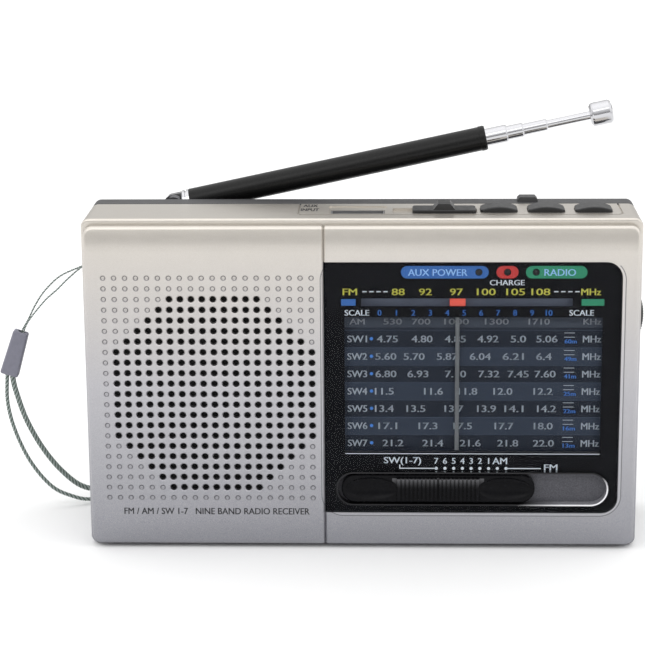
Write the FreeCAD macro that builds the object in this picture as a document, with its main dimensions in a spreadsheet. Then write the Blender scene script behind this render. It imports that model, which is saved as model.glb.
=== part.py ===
"""Pocket shortwave receiver with a telescopic antenna, as an assembly of separate pieces.

Millimetres. +X is the listener's right, +Y points from the front panel to the back, +Z is up.
The origin is the centre of the flat bottom that the set stands on. Sizes live in the
spreadsheet "sizes"; every piece is a document object bound to it, and is written to parts/.
"""
import FreeCAD, Part
import math
import os
import Sketcher
from FreeCAD import Placement, Rotation, Vector

SIZES = {
    # cabinet
    "width": 137.0, "height": 83.6, "front_y": -19.0, "back_y": 19.0,
    "panel_back_y": -15.5, "seam_y": 3.5, "wall": 2.0,
    "panel_inset": 0.8, "panel_skin": 1.8, "panel_rim": 2.3, "panel_corner": 2.2, "edge_round": 0.9,
    "top_shoulder_z": 76.2, "top_shoulder_radius": 20.0,
    "low_shoulder_z": 8.4, "low_shoulder_radius": 30.0,
    "groove_x": -9.1, "groove_gap": 0.1, "groove_bevel": 0.4, "groove_wall": 0.9,
    "corner": 2.0, "rear_edge": 1.9, "seam_bevel": 0.35, "inner_corner": 2.4,
    "step_y": 10.5, "step_z": 77.0, "band_wall_y": 8.5,
    "screw_x": 63.7, "screw_mid_x": -8.0, "screw_low_z": 4.8, "screw_top_z": 79.6,
    "boss_radius": 3.0, "post_radius": 3.8, "screw_radius": 1.2, "screw_head_radius": 2.4,
    "screw_head_y": 6.5, "low_boss_length": 11.0, "top_boss_length": 4.2,
    # grille and speaker
    "grille_x": -36.2, "grille_z": 40.1, "grille_pitch": 2.68, "grille_columns": 20.0, "grille_rows": 22.0,
    "grille_centre_column": 10.0, "grille_centre_row": 11.0, "grille_reach": 9.0, "grille_diagonal": 13.0,
    "hole_radius": 0.78, "hole_mouth_radius": 1.0, "hole_mouth_depth": 0.22,
    "dimple_radius": 0.85, "dimple_depth": 0.35,
    "speaker_radius": 26.0, "speaker_screw_circle": 28.4,
    # dial
    "lens_right": 63.45, "lens_low": 9.6, "lens_high": 73.5, "lens_corner": 4.0,
    "lens_front_y": -18.75, "lens_back_y": -17.6, "mask_back_y": -17.5, "backing_back_y": -16.0,
    "window_left": -4.07, "window_right": 58.95, "window_low": 24.9, "window_high": 59.44,
    "flag_slot_low": 62.22, "flag_slot_high": 64.18, "flag_slot_left": 0.03, "flag_slot_right": 51.6,
    "led_z": 70.74, "led_hole_radius": 0.85, "led_radius": 1.5, "led_mid_x": 35.65, "led_pitch": 6.95,
    "tray_left": -6.03, "tray_right": 60.81, "tray_z": 15.7, "tray_radius": 3.98, "tray_floor_y": -16.2,
    "tray_back_y": -14.8, "tray_rim": 0.38,
    "knob_length": 48.0, "knob_left": -4.98, "knob_radius": 3.6, "band_travel": 17.2,
    "pointer_x": 23.6, "cord_y": -11.4, "cord_radius": 0.3, "rail_z": 66.2,
    "pulley_radius": 2.5, "pulley_z": 65.0, "pulley_left_x": -0.9, "pulley_right_x": 62.5,
    "spindle_radius": 6.0, "tuning_x": 56.55, "tuning_z": 55.8, "tuning_wheel_radius": 14.2,
    "tuning_front_y": -0.5, "tuning_back_y": 3.3, "axle_radius": 1.5,
    "drum_radius": 13.16, "drum_x": 27.0, "drum_z": 44.0,
    "volume_x": 60.2, "volume_z": 26.0, "volume_wheel_radius": 9.0,
    "board_front_y": -7.6, "board_thick": 1.6,
    # deck controls
    "deck_panel_left": -15.7, "deck_panel_right": 64.2, "deck_panel_front": -10.7,
    "usb_x": -0.9, "usb_y": -6.2, "usb_width": 13.4, "usb_depth": 5.2,
    "switch_y": -5.8, "switch_right": 28.2, "switch_length": 15.6, "switch_depth": 6.2, "switch_travel": 4.6,
    "switch_nub_x": 20.4,
    "button_x": 33.9, "button_pitch": 11.65, "button_y": -4.9, "button_width": 9.1, "button_depth": 6.6,
    "button_top": 85.0, "button_corner": 1.2, "button_dome": 13.0,
    "player_front_y": -3.6, "player_low_z": 70.8, "player_high_z": 79.6,
    # back and side
    "battery_left": -59.0, "battery_length": 53.0, "battery_low": 10.0, "battery_height": 34.0,
    "battery_front_y": 11.0, "battery_thick": 5.6, "door_front_y": 17.2,
    "jack_y": -1.5, "jack_z": 22.0, "jack_bore_radius": 1.8, "charge_z": 34.0,
    "strap_y": 9.0, "strap_z": 66.5,
    "ferrite_y": 0.5, "ferrite_z": 70.5, "ferrite_radius": 4.0,
    # antenna: distances along it are counted from its hinge
    "mast_x": -48.5, "mast_y": 14.9, "mast_z": 81.363, "mast_rise": 12.07,
    "ear_radius": 2.3, "tongue_radius": 2.65, "pin_radius": 0.9, "slip": 0.05,
    "tube_start": 4.5, "tube_end": 81.71, "section_1_end": 87.21, "section_2_end": 91.41,
    "section_3_end": 97.56, "rod_end": 108.46, "tip_end": 114.26,
    "tube_radius": 3.05, "section_1_radius": 2.2, "section_2_radius": 1.77, "section_3_radius": 1.44,
    "rod_radius": 1.05, "tip_radius": 3.0,
}

os.makedirs("parts", exist_ok=True)
doc = FreeCAD.newDocument("shortwave_receiver")
sheet = doc.addObject("Spreadsheet::Sheet", "sizes")
for row, (alias, value) in enumerate(SIZES.items(), start=1):
    sheet.set(f"A{row}", alias)
    sheet.set(f"B{row}", str(value))
    sheet.setAlias(f"B{row}", alias)
doc.recompute()


# ---------------------------------------------------------------- sizes with their expressions
class Size:
    """A number that also carries the spreadsheet expression it comes from."""

    def __init__(self, value, text):
        self.value = value
        self.text = text

    def __add__(self, other):
        other = as_size(other)
        return Size(self.value + other.value, f"({self.text} + {other.text})")

    def __sub__(self, other):
        other = as_size(other)
        return Size(self.value - other.value, f"({self.text} - {other.text})")

    def __mul__(self, other):
        other = as_size(other)
        return Size(self.value * other.value, f"({self.text} * {other.text})")

    def __truediv__(self, other):
        other = as_size(other)
        return Size(self.value / other.value, f"({self.text} / {other.text})")

    def __radd__(self, other):
        return as_size(other) + self

    def __rsub__(self, other):
        return as_size(other) - self

    def __rmul__(self, other):
        return as_size(other) * self

    def __neg__(self):
        return Size(-self.value, f"(-1 * {self.text})")


def as_size(number):
    return number if isinstance(number, Size) else Size(float(number), f"{float(number):.6f}")


class Sheet:
    """Reads a named cell of the spreadsheet as a Size."""

    def __getattr__(self, alias):
        return Size(float(sheet.get(alias)), "sizes." + alias)


d = Sheet()


# ---------------------------------------------------------------- modelling helpers
nodes = {}
TURN_FROM_Z = {"x": Rotation(Vector(0, 1, 0), 90), "y": Rotation(Vector(1, 0, 0), -90), "z": Rotation()}


def bind(obj, prop, number):
    obj.setExpression(prop, as_size(number).text)


def put(obj, x, y, z, turn=None):
    base = Vector(as_size(x).value, as_size(y).value, as_size(z).value)
    obj.Placement = Placement(base, turn or Rotation())
    for axis, number in zip("xyz", (x, y, z)):
        bind(obj, "Placement.Base." + axis, number)
    return obj


def done(obj, label=None):
    """Computes a document object, and registers it as a piece when it has a label."""
    obj.recompute()
    if label:
        obj.Label = label
        nodes[label] = obj
    return obj


def box(x0, x1, y0, y1, z0, z1, label=None):
    obj = doc.addObject("Part::Box", "box")
    for prop, low, high in (("Length", x0, x1), ("Width", y0, y1), ("Height", z0, z1)):
        bind(obj, prop, as_size(high) - low)
    return done(put(obj, x0, y0, z0), label)


def spot(axis, first, second, along):
    """The point at (first, second) in the plane across an axis, and along on it."""
    return {"x": (along, first, second), "y": (first, along, second), "z": (first, second, along)}[axis]


def rod(axis, first, second, radius, start, end, label=None):
    obj = doc.addObject("Part::Cylinder", "rod")
    bind(obj, "Radius", radius)
    bind(obj, "Height", as_size(end) - start)
    return done(put(obj, *spot(axis, first, second, start), TURN_FROM_Z[axis]), label)


def fuse(*shapes, label=None):
    obj = doc.addObject("Part::MultiFuse", "fuse")
    obj.Shapes = list(shapes)
    obj.Refine = True
    return done(obj, label)


def cut(base, *tools, label=None):
    obj = doc.addObject("Part::Cut", "cut")
    obj.Base = base
    obj.Tool = tools[0] if len(tools) == 1 else fuse(*tools)
    return done(obj, label)


def common(*shapes, label=None):
    obj = doc.addObject("Part::MultiCommon", "common")
    obj.Shapes = list(shapes)
    return done(obj, label)


def group(label, *shapes):
    """Several separate solids that share one piece, such as a set of screws."""
    obj = doc.addObject("Part::Compound", "group")
    obj.Links = list(shapes)
    return done(obj, label)


def made(shape, label=None):
    """A piece whose shape comes from Part's own functions."""
    obj = doc.addObject("Part::Feature", "made")
    obj.Shape = shape
    return done(obj, label)


def dress(kind, base, sizes, chosen, label):
    obj = doc.addObject(kind, "dress")
    obj.Base = base
    first, second = sizes
    obj.Edges = [(i, first, second) for i, edge in enumerate(base.Shape.Edges, start=1) if chosen(edge)]
    return done(obj, label)


def rounded(base, radius, chosen, label=None):
    value = as_size(radius).value
    return dress("Part::Fillet", base, (value, value), chosen, label)


def bevelled(base, width, chosen, label=None):
    value = as_size(width).value
    return dress("Part::Chamfer", base, (value, value), chosen, label)


def along(axis, keep=lambda box: True):
    """Chooses the straight edges that run along an axis."""
    def test(edge):
        size = edge.BoundBox
        spans = {"x": size.XLength, "y": size.YLength, "z": size.ZLength}
        others = [span for name, span in spans.items() if name != axis]
        return spans[axis] > 1e-3 and max(others) < 1e-4 and keep(size)
    return test


def flat_at(axis, position, keep=lambda box: True):
    """Chooses the edges that lie in the plane where axis equals position."""
    where = as_size(position).value

    def test(edge):
        size = edge.BoundBox
        spans = {"x": (size.XMin, size.XMax), "y": (size.YMin, size.YMax), "z": (size.ZMin, size.ZMax)}
        low, high = spans[axis]
        return abs(low - where) < 1e-3 and abs(high - where) < 1e-3 and keep(size)
    return test


def block(axis, radius, x0, x1, y0, y1, z0, z1, label=None):
    """A box whose four edges along an axis are rounded."""
    return rounded(box(x0, x1, y0, y1, z0, z1), radius, along(axis), label)


def stadium(x0, x1, z, radius, y0, y1, label=None):
    """A slot shape with round ends, lying along X and thick along Y."""
    left, right = as_size(x0) + radius, as_size(x1) - radius
    middle = box(left, right, y0, y1, as_size(z) - radius, as_size(z) + radius)
    ends = [rod("y", x, z, radius, y0, y1) for x in (left, right)]
    return fuse(middle, *ends, label=label)


def origin_plane(body, role):
    return next(item for item in body.Origin.OriginFeatures if item.Role == role)


def outline(body, role, points):
    """A closed sketch whose corners are bound to sizes."""
    sketch = body.newObject("Sketcher::SketchObject", "outline")
    sketch.AttachmentSupport = [(origin_plane(body, role), "")]
    sketch.MapMode = "FlatFace"
    corners = [(as_size(u), as_size(v)) for u, v in points]
    ends = corners[1:] + corners[:1]
    for (u, v), (next_u, next_v) in zip(corners, ends):
        line = Part.LineSegment(Vector(u.value, v.value, 0), Vector(next_u.value, next_v.value, 0))
        sketch.addGeometry(line, False)
    for i, (u, v) in enumerate(corners):
        sketch.addConstraint(Sketcher.Constraint("Coincident", i, 2, (i + 1) % len(corners), 1))
        for kind, number in (("DistanceX", u), ("DistanceY", v)):
            index = sketch.addConstraint(Sketcher.Constraint(kind, -1, 1, i, 1, number.value))
            sketch.setExpression(f"Constraints[{index}]", number.text)
    sketch.recompute()
    return sketch


def turned(axis, points, x=0, y=0, z=0, label=None):
    """A body of revolution about an axis through (x, y, z); points are (along, radius)."""
    body = doc.addObject("PartDesign::Body", "turned")
    if axis == "x":
        sketch, line = outline(body, "XY_Plane", points), "H_Axis"
    elif axis == "y":
        sketch, line = outline(body, "XY_Plane", [(r, a) for a, r in points]), "V_Axis"
    else:
        sketch, line = outline(body, "XZ_Plane", [(r, a) for a, r in points]), "V_Axis"
    spin = body.newObject("PartDesign::Revolution", "spin")
    spin.Profile = sketch
    spin.ReferenceAxis = (sketch, [line])
    spin.Angle = 360
    spin.recompute()
    return done(put(body, x, y, z), label)


def padded(points, y0, y1, label=None):
    """A body with a flat outline in X and Z, thick along Y; points are (x, z)."""
    body = doc.addObject("PartDesign::Body", "padded")
    sketch = outline(body, "XZ_Plane", points)
    pad = body.newObject("PartDesign::Pad", "pad")
    pad.Profile = sketch
    pad.Reversed = True
    bind(pad, "Length", as_size(y1) - y0)
    pad.recompute()
    return done(put(body, 0, y0, 0), label)


# ---------------------------------------------------------------- cabinet
half_width = d.width / 2
panel_half = half_width - d.panel_inset
panel_low = d.panel_inset
panel_high = d.height - d.panel_inset * 1.75
inner_half = half_width - d.wall
inner_high = d.height - d.wall
low_screws = [(-d.screw_x, d.screw_low_z), (d.screw_mid_x, d.screw_low_z), (d.screw_x, d.screw_low_z)]
top_screws = [(-d.screw_x, d.screw_top_z), (d.screw_x, d.screw_top_z)]


def shoulder_drop(radius, reach):
    """How far a face that rolls off with this radius falls back over a reach."""
    return radius - math.sqrt(radius ** 2 - reach ** 2)


def panel_slab(x0, x1):
    """A front panel's block: flat in the middle, rolled back towards the top and the bottom."""
    low, high = panel_low.value, panel_high.value
    front, back = SIZES["front_y"], SIZES["panel_back_y"]
    top_z, top_radius = SIZES["top_shoulder_z"], SIZES["top_shoulder_radius"]
    low_z, low_radius = SIZES["low_shoulder_z"], SIZES["low_shoulder_radius"]
    top_drop = shoulder_drop(top_radius, high - top_z)
    low_drop = shoulder_drop(low_radius, low_z - low)
    top_mid, low_mid = (high + top_z) / 2, (low + low_z) / 2
    points = [Vector(x0, back, low), Vector(x0, front + low_drop, low), Vector(x0, front, low_z),
              Vector(x0, front, top_z), Vector(x0, front + top_drop, high), Vector(x0, back, high)]
    low_arc_mid = Vector(x0, front + shoulder_drop(low_radius, low_z - low_mid), low_mid)
    top_arc_mid = Vector(x0, front + shoulder_drop(top_radius, top_mid - top_z), top_mid)
    edges = [Part.LineSegment(points[0], points[1]), Part.Arc(points[1], low_arc_mid, points[2]),
             Part.LineSegment(points[2], points[3]), Part.Arc(points[3], top_arc_mid, points[4]),
             Part.LineSegment(points[4], points[5]), Part.LineSegment(points[5], points[0])]
    wire = Part.Wire([edge.toShape() for edge in edges])
    return made(Part.Face(wire).extrude(Vector(x1 - x0, 0, 0)))


def front_panel(outer_x, groove_x):
    """A panel slab with soft outer edges and a bevel along the centre groove."""
    x0, x1 = sorted((outer_x, groove_x))
    slab = panel_slab(x0, x1)
    side = math.copysign(1, outer_x)
    corners = rounded(slab, d.panel_corner, along("y", lambda size: size.Center.x * side > 60))
    front_loop_y = SIZES["front_y"] + 1.6
    soft = rounded(corners, d.edge_round, lambda edge: edge.BoundBox.YMax < front_loop_y
                   and not abs(edge.BoundBox.XMin - groove_x) + abs(edge.BoundBox.XMax - groove_x) < 1e-3
                   and on_rim(edge))
    return bevelled(soft, d.groove_bevel, flat_at("x", groove_x, lambda size: size.YMax < front_loop_y))


def on_rim(edge):
    """True for an edge on the panel's outer outline: the sides, the corners, the top and the bottom."""
    size = edge.BoundBox
    straight_seam = size.XLength > 20 and panel_low.value + 0.5 < size.ZMin < panel_high.value - 0.5
    return not straight_seam


def at_screws(places, radius, y0, y1):
    return [rod("y", x, z, radius, y0, y1) for x, z in places]


def grille_cells():
    """Each cell of the grille as (x, z, whether it is a through hole)."""
    first_x = SIZES["grille_x"] - SIZES["grille_centre_column"] * SIZES["grille_pitch"]
    centre_line = SIZES["grille_rows"] - 1 - SIZES["grille_centre_row"]
    first_z = SIZES["grille_z"] - centre_line * SIZES["grille_pitch"]
    for column in range(int(SIZES["grille_columns"])):
        for line in range(int(SIZES["grille_rows"])):
            across = abs(column - SIZES["grille_centre_column"])
            up = abs(line - centre_line)
            through = max(across, up) <= SIZES["grille_reach"] and across + up <= SIZES["grille_diagonal"]
            yield (first_x + column * SIZES["grille_pitch"], first_z + line * SIZES["grille_pitch"], through)


def grille_tools():
    """Cutters for the grille: countersunk through holes, and shallow round dimples round them."""
    front, skin = SIZES["front_y"], SIZES["panel_skin"]
    hole, mouth, flare = SIZES["hole_radius"], SIZES["hole_mouth_radius"], SIZES["hole_mouth_depth"]
    forward = Vector(0, 1, 0)
    tools = []
    for x, z, through in grille_cells():
        if through:
            profile = [(0, -0.5), (mouth, -0.5), (mouth, 0), (hole, flare), (hole, skin + 1), (0, skin + 1)]
            ring = Part.makePolygon([Vector(x + r, front + y, z) for r, y in profile + profile[:1]])
            tools.append(Part.Face(ring).revolve(Vector(x, front, z), forward, 360))
        else:
            start = Vector(x, front + SIZES["dimple_depth"] - SIZES["dimple_radius"], z)
            tools.append(Part.makeSphere(SIZES["dimple_radius"], start))
    return made(Part.makeCompound(tools))


def build_speaker_panel():
    groove = (d.groove_x - d.groove_gap / 2).value
    panel = front_panel(-panel_half.value, groove)
    skin_back = d.front_y + d.panel_skin
    hollow = box(-panel_half + d.panel_rim, groove - d.groove_wall, skin_back, d.panel_back_y + 1,
                 panel_low + d.panel_rim, panel_high - d.panel_rim)
    posts = [rod("y", x, z, 1.9, skin_back, d.front_y + 3.1) for x, z in speaker_screw_places()]
    panel = fuse(cut(panel, hollow), *posts)
    pilots = [rod("y", x, z, 0.8, skin_back + 0.2, d.front_y + 4) for x, z in speaker_screw_places()]
    panel = cut(panel, *pilots)
    return cut(panel, grille_tools(), label="speaker_panel")


def speaker_screw_places():
    circle = SIZES["speaker_screw_circle"]
    turns = [math.radians(angle) for angle in (45, 135, 225, 315)]
    return [(SIZES["grille_x"] + circle * math.cos(turn), SIZES["grille_z"] + circle * math.sin(turn))
            for turn in turns]


def board_post_places():
    """Where the main board is screwed to posts on the dial panel."""
    return [(10.5, 70.4), (1.8, 14.5), (57.5, 14.5)]


def build_dial_panel():
    groove = (d.groove_x + d.groove_gap / 2).value
    panel = front_panel(panel_half.value, groove)
    lens_seat = block("y", d.lens_corner, groove - 12, d.lens_right + 0.05, d.front_y - 1, d.mask_back_y,
                      d.lens_low - 0.05, d.lens_high + 0.05)
    hollow = box(groove + 1.5, panel_half - d.panel_rim, d.backing_back_y, d.panel_back_y + 1,
                 panel_low + d.panel_rim, panel_high - d.panel_rim)
    window = box(d.window_left - 0.2, d.window_right + 0.2, d.mask_back_y - 1, d.backing_back_y + 1,
                 d.window_low - 0.2, d.rail_z + 2.6)
    led_holes = [rod("y", x, d.led_z, d.led_radius + 0.1, d.mask_back_y - 1, d.backing_back_y + 1)
                 for x in led_places()]
    tray_block = box(d.tray_left - 1.2, d.tray_right + 1.2, d.backing_back_y - 0.2, d.tray_back_y,
                     d.tray_z - d.tray_radius - 1.2, d.tray_z + d.tray_radius + 1.2)
    rim = stadium(d.tray_left - d.tray_rim, d.tray_right + d.tray_rim, d.tray_z, d.tray_radius + d.tray_rim,
                  d.lens_front_y - 0.1, d.backing_back_y)
    posts = [rod("y", x, z, 1.9, d.backing_back_y - 0.2, d.board_front_y) for x, z in board_post_places()]
    panel = fuse(cut(panel, lens_seat, hollow), tray_block, rim, *posts)
    tray = stadium(d.tray_left, d.tray_right, d.tray_z, d.tray_radius, d.front_y - 1, d.tray_floor_y)
    stem_slot = stadium(knob_mid - 2.9, knob_mid + d.band_travel + 2.9, d.tray_z, 1.1,
                        d.tray_floor_y - 1, d.tray_back_y + 1)
    pilots = [rod("y", x, z, 0.8, d.board_front_y - 4, d.board_front_y + 1) for x, z in board_post_places()]
    return cut(panel, window, tray, stem_slot, *led_holes, *pilots, label="dial_panel")


def led_places():
    return [d.led_mid_x + step * d.led_pitch for step in (-1, 0, 1)]


knob_mid = d.knob_left + d.knob_length / 2
button_places = [d.button_x + step * d.button_pitch for step in range(3)]


def build_front_housing():
    shell = block("y", d.corner, -half_width, half_width, d.panel_back_y, d.seam_y, 0, d.height)
    shell = rounded(shell, 0.6, flat_at("y", d.panel_back_y))
    shell = rounded(shell, 0.25, flat_at("y", d.seam_y))
    hollow = block("y", d.inner_corner, -inner_half, inner_half, d.panel_back_y - 1, d.seam_y + 1,
                   d.wall, inner_high)
    bosses = at_screws(low_screws, d.boss_radius, d.seam_y - d.low_boss_length, d.seam_y)
    bosses += at_screws(top_screws, d.boss_radius, d.seam_y - d.top_boss_length, d.seam_y)
    shelf = box(-inner_half - 0.5, -53, d.jack_y - 3.5, d.seam_y, d.jack_z - 5, d.jack_z - 3)
    upper_shelf = box(-inner_half - 0.5, -57, d.jack_y - 4.5, d.seam_y, d.charge_z - 4, d.charge_z - 2)
    shell = fuse(cut(shell, hollow), *bosses, shelf, upper_shelf)
    pilots = at_screws(low_screws, d.screw_radius + 0.05, d.seam_y - d.low_boss_length + 1, d.seam_y + 1)
    pilots += at_screws(top_screws, d.screw_radius + 0.05, d.seam_y - d.top_boss_length + 0.5, d.seam_y + 1)
    tuning_slot = rod("y", d.tuning_x, d.tuning_z, d.tuning_wheel_radius + 0.5,
                      d.tuning_front_y - 0.4, d.seam_y + 1)
    volume_slot = rod("y", d.volume_x, d.volume_z, d.volume_wheel_radius + 0.5,
                      d.tuning_front_y - 0.4, d.seam_y + 1)
    jack_hole = rod("x", d.jack_y, d.jack_z, 3.1, -half_width - 1, -inner_half + 1)
    charge_hole = block("x", 0.9, -half_width - 1, -inner_half + 1, d.jack_y - 4.1, d.jack_y + 4.1,
                        d.charge_z - 2.15, d.charge_z + 2.15)
    return cut(shell, *pilots, tuning_slot, volume_slot, jack_hole, charge_hole, *deck_tools(),
               label="front_housing")


def deck_tools():
    """Cutters for the control deck: socket slot, switch track, button holes and the outline groove."""
    top, under = d.height + 1, inner_high - 1
    usb_slot = box(d.usb_x - d.usb_width / 2, d.usb_x + d.usb_width / 2,
                   d.usb_y - d.usb_depth / 2, d.usb_y + d.usb_depth / 2, under, top)
    usb_recess = block("z", 0.8, d.usb_x - 7.2, d.usb_x + 7.2, d.usb_y - 3.1, d.usb_y + 6.6,
                       d.height - 0.3, top)
    track = block("z", 0.8, d.switch_right - d.switch_length - d.switch_travel - 0.3, d.switch_right + 0.3,
                  d.switch_y - 3.4, d.switch_y + 3.4, d.height - 0.6, top)
    stem_slot = box(d.switch_nub_x - 1.7 - d.switch_travel, d.switch_nub_x + 1.7,
                    d.switch_y - 1.2, d.switch_y + 1.2, under, top)
    holes = [block("z", d.button_corner + 0.1, x - d.button_width / 2 - 0.1, x + d.button_width / 2 + 0.1,
                   d.button_y - d.button_depth / 2 - 0.1, d.button_y + d.button_depth / 2 + 0.1, under, top)
             for x in button_places]
    outer = block("z", 1.5, d.deck_panel_left, d.deck_panel_right, d.deck_panel_front, d.seam_y + 4,
                  d.height - 0.4, top)
    inner = block("z", 1.1, d.deck_panel_left + 0.45, d.deck_panel_right - 0.45, d.deck_panel_front + 0.45,
                  d.seam_y + 6, d.height - 0.6, top + 1)
    return [usb_slot, usb_recess, track, stem_slot, *holes, cut(outer, inner)]


def build_rear_cover():
    shell = block("y", d.corner, -half_width, half_width, d.seam_y, d.back_y, 0, d.height)
    shell = bevelled(shell, d.seam_bevel, flat_at("y", d.seam_y))
    step = box(-half_width - 1, half_width + 1, d.step_y, d.back_y + 1, d.step_z, d.height + 1)
    shell = cut(shell, step)
    back = d.back_y.value
    shell = rounded(shell, d.rear_edge, lambda edge: edge.BoundBox.YMin > back - 1e-3)
    shell = rounded(shell, 0.8, along("x", lambda size: abs(size.Center.y - SIZES["step_y"]) < 1e-3
                                      and size.Center.z > SIZES["height"] - 0.1))
    hollow = block("y", d.inner_corner, -inner_half, inner_half, d.seam_y - 1, d.back_y - d.wall,
                   d.wall, d.step_z - d.wall)
    upper_hollow = block("y", d.inner_corner, -inner_half, inner_half, d.seam_y - 1, d.band_wall_y,
                         d.step_z - 8, inner_high)
    posts = at_screws(low_screws, d.post_radius, d.seam_y, d.back_y - 1)
    posts += at_screws(top_screws, d.post_radius, d.seam_y, d.step_y - 1)
    well = box(bay_left - 1.2, bay_right + 1.2, d.battery_front_y - 1.5, d.back_y - 1,
               bay_low - 1.2, bay_high + 1.2)
    lug = box(-inner_half - 0.5, -half_width + 5.2, d.strap_y - 4.4, d.strap_y + 4.4,
              d.strap_z - 5.6, d.strap_z + 5.6)
    swivel_boss = rod("z", d.mast_x, d.mast_y, 3.4, d.step_z - 5.5, d.step_z - 1)
    shell = fuse(cut(shell, hollow, upper_hollow), *posts, well, lug, swivel_boss)
    screw_holes = at_screws(low_screws + top_screws, d.screw_radius + 0.3, d.seam_y - 1, d.back_y + 1)
    head_wells = at_screws(low_screws + top_screws, d.screw_head_radius + 0.2, d.screw_head_y, d.back_y + 1)
    bay = box(bay_left, bay_right, d.battery_front_y - 0.3, d.back_y + 1, bay_low, bay_high)
    door_seat = block("y", 1.4, bay_left - 1.6, bay_right + 1.6, d.door_front_y, d.back_y + 1,
                      bay_low - 1.6, bay_high + 1.6)
    strap_bar = rod("z", -half_width + 1.3, d.strap_y, 0.9, d.strap_z - 6, d.strap_z + 6)
    strap_well = box(-half_width - 1, -half_width + 4.0, d.strap_y - 3.2, d.strap_y + 3.2,
                     d.strap_z - 4.4, d.strap_z + 4.4)
    swivel_hole = rod("z", d.mast_x, d.mast_y, 2.0 + d.slip, d.step_z - 8, d.step_z + 1)
    screw_relief = rod("z", d.mast_x, d.mast_y, 2.9, d.step_z - 8, d.step_z - 5.5)
    shell = cut(shell, *screw_holes, *head_wells, bay, door_seat, cut(strap_well, strap_bar),
                swivel_hole, screw_relief)
    tab = bevelled(box(39.1, 44.1, d.seam_y + 2, d.step_y - 1.2, d.height - 0.5, d.height + 1.2), 0.6,
                   along("y", lambda size: size.Center.z > SIZES["height"] + 1))
    return fuse(shell, tab, label="rear_cover")


bay_left = d.battery_left - 0.5
bay_right = d.battery_left + d.battery_length + 0.5
bay_low = d.battery_low - 0.4
bay_high = d.battery_low + d.battery_height + 0.4


def build_battery_parts():
    """The flat cell, its spring contacts, and the door that tips out about its lower edge."""
    gap = 0.12
    door = block("y", 1.3, bay_left - 1.6 + gap, bay_right + 1.6 - gap, d.door_front_y + 0.05, d.back_y,
                 bay_low - 1.6 + gap, bay_high + 1.6 - gap)
    door = rounded(door, 0.86, along("x", lambda size: size.Center.z < bay_low.value))
    ribs = [box(bay_left + 8, bay_right - 8, d.back_y - 0.3, d.back_y + 1, z, as_size(z) + 0.8)
            for z in (37.0, 38.8, 40.6)]
    cut(door, *ribs, label="battery_door")
    block("x", 1.2, d.battery_left, d.battery_left + d.battery_length - 0.8, d.battery_front_y,
          d.battery_front_y + d.battery_thick, d.battery_low, d.battery_low + d.battery_height,
          label="battery_pack")
    springs = [box(bay_right - 0.4, bay_right - 0.1, d.battery_front_y + 1.0, d.battery_front_y + 4.6,
                   as_size(z), as_size(z) + 3) for z in (18.0, 25.5, 33.0)]
    group("battery_contacts", *springs)


# ---------------------------------------------------------------- dial
def build_dial():
    """Clear lens, printed mask, printed scale plate, the moulded frame behind them, and the pointer."""
    left = d.groove_x + d.groove_gap / 2
    tray_cut = d.tray_radius + d.tray_rim + 0.06
    tray_ends = (d.tray_left - d.tray_rim - 0.06, d.tray_right + d.tray_rim + 0.06)

    def sheet_part(front_y, back_y):
        slab = rounded(box(left, d.lens_right, front_y, back_y, d.lens_low, d.lens_high), d.lens_corner,
                       along("y", lambda size: size.Center.x > 0))
        return cut(slab, stadium(*tray_ends, d.tray_z, tray_cut, front_y - 1, back_y + 1))

    lens = sheet_part(d.lens_front_y, d.lens_back_y)
    bevelled(lens, 0.18, flat_at("y", d.lens_front_y, lambda size: size.XMax < 70), label="dial_lens")
    mask = sheet_part(d.lens_back_y, d.mask_back_y)
    window = box(d.window_left, d.window_right, d.lens_back_y - 1, d.mask_back_y + 1,
                 d.window_low, d.window_high)
    flag_slot = box(d.flag_slot_left, d.flag_slot_right, d.lens_back_y - 1, d.mask_back_y + 1,
                    d.flag_slot_low, d.flag_slot_high)
    leds = [rod("y", x, d.led_z, d.led_hole_radius, d.lens_back_y - 1, d.mask_back_y + 1)
            for x in led_places()]
    cut(mask, window, flag_slot, *leds, label="dial_mask")
    plate = box(-6.0, 61.0, d.backing_back_y + 0.1, d.backing_back_y + 0.9, 23.0, d.rail_z - 0.2)
    notches = [rod("y", x, 23.0, 1.0, d.backing_back_y - 1, d.backing_back_y + 2) for x in (4, 50)]
    cut(plate, *notches, label="scale_plate")
    build_dial_frame()
    build_pointer()


def build_dial_frame():
    """The chassis plate behind the scale, with the pulley pins and openings for light."""
    front, back = d.backing_back_y + 0.9, d.backing_back_y + 1.9
    plate = box(-6.4, 65.2, front, back, 22.4, d.rail_z)
    pins = [rod("y", x, d.pulley_z, 0.9, front + 0.2, d.cord_y + 1.3)
            for x in (d.pulley_left_x, d.pulley_right_x)]
    seats = [rod("y", x, d.pulley_z, 1.6, back - 0.1, d.cord_y - 1.15)
             for x in (d.pulley_left_x, d.pulley_right_x)]
    collar = rod("y", d.tuning_x, d.tuning_z, 3.2, back - 0.1, d.cord_y - 1.3)
    openings = [box(x, as_size(x) + 8, front - 1, back + 1, 26, 38) for x in (-2, 42, 52)]
    axle_hole = rod("y", d.tuning_x, d.tuning_z, d.axle_radius + 0.02, front - 1, d.cord_y)
    cut(fuse(plate, *pins, *seats, collar), *openings, axle_hole, label="dial_frame")


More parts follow.
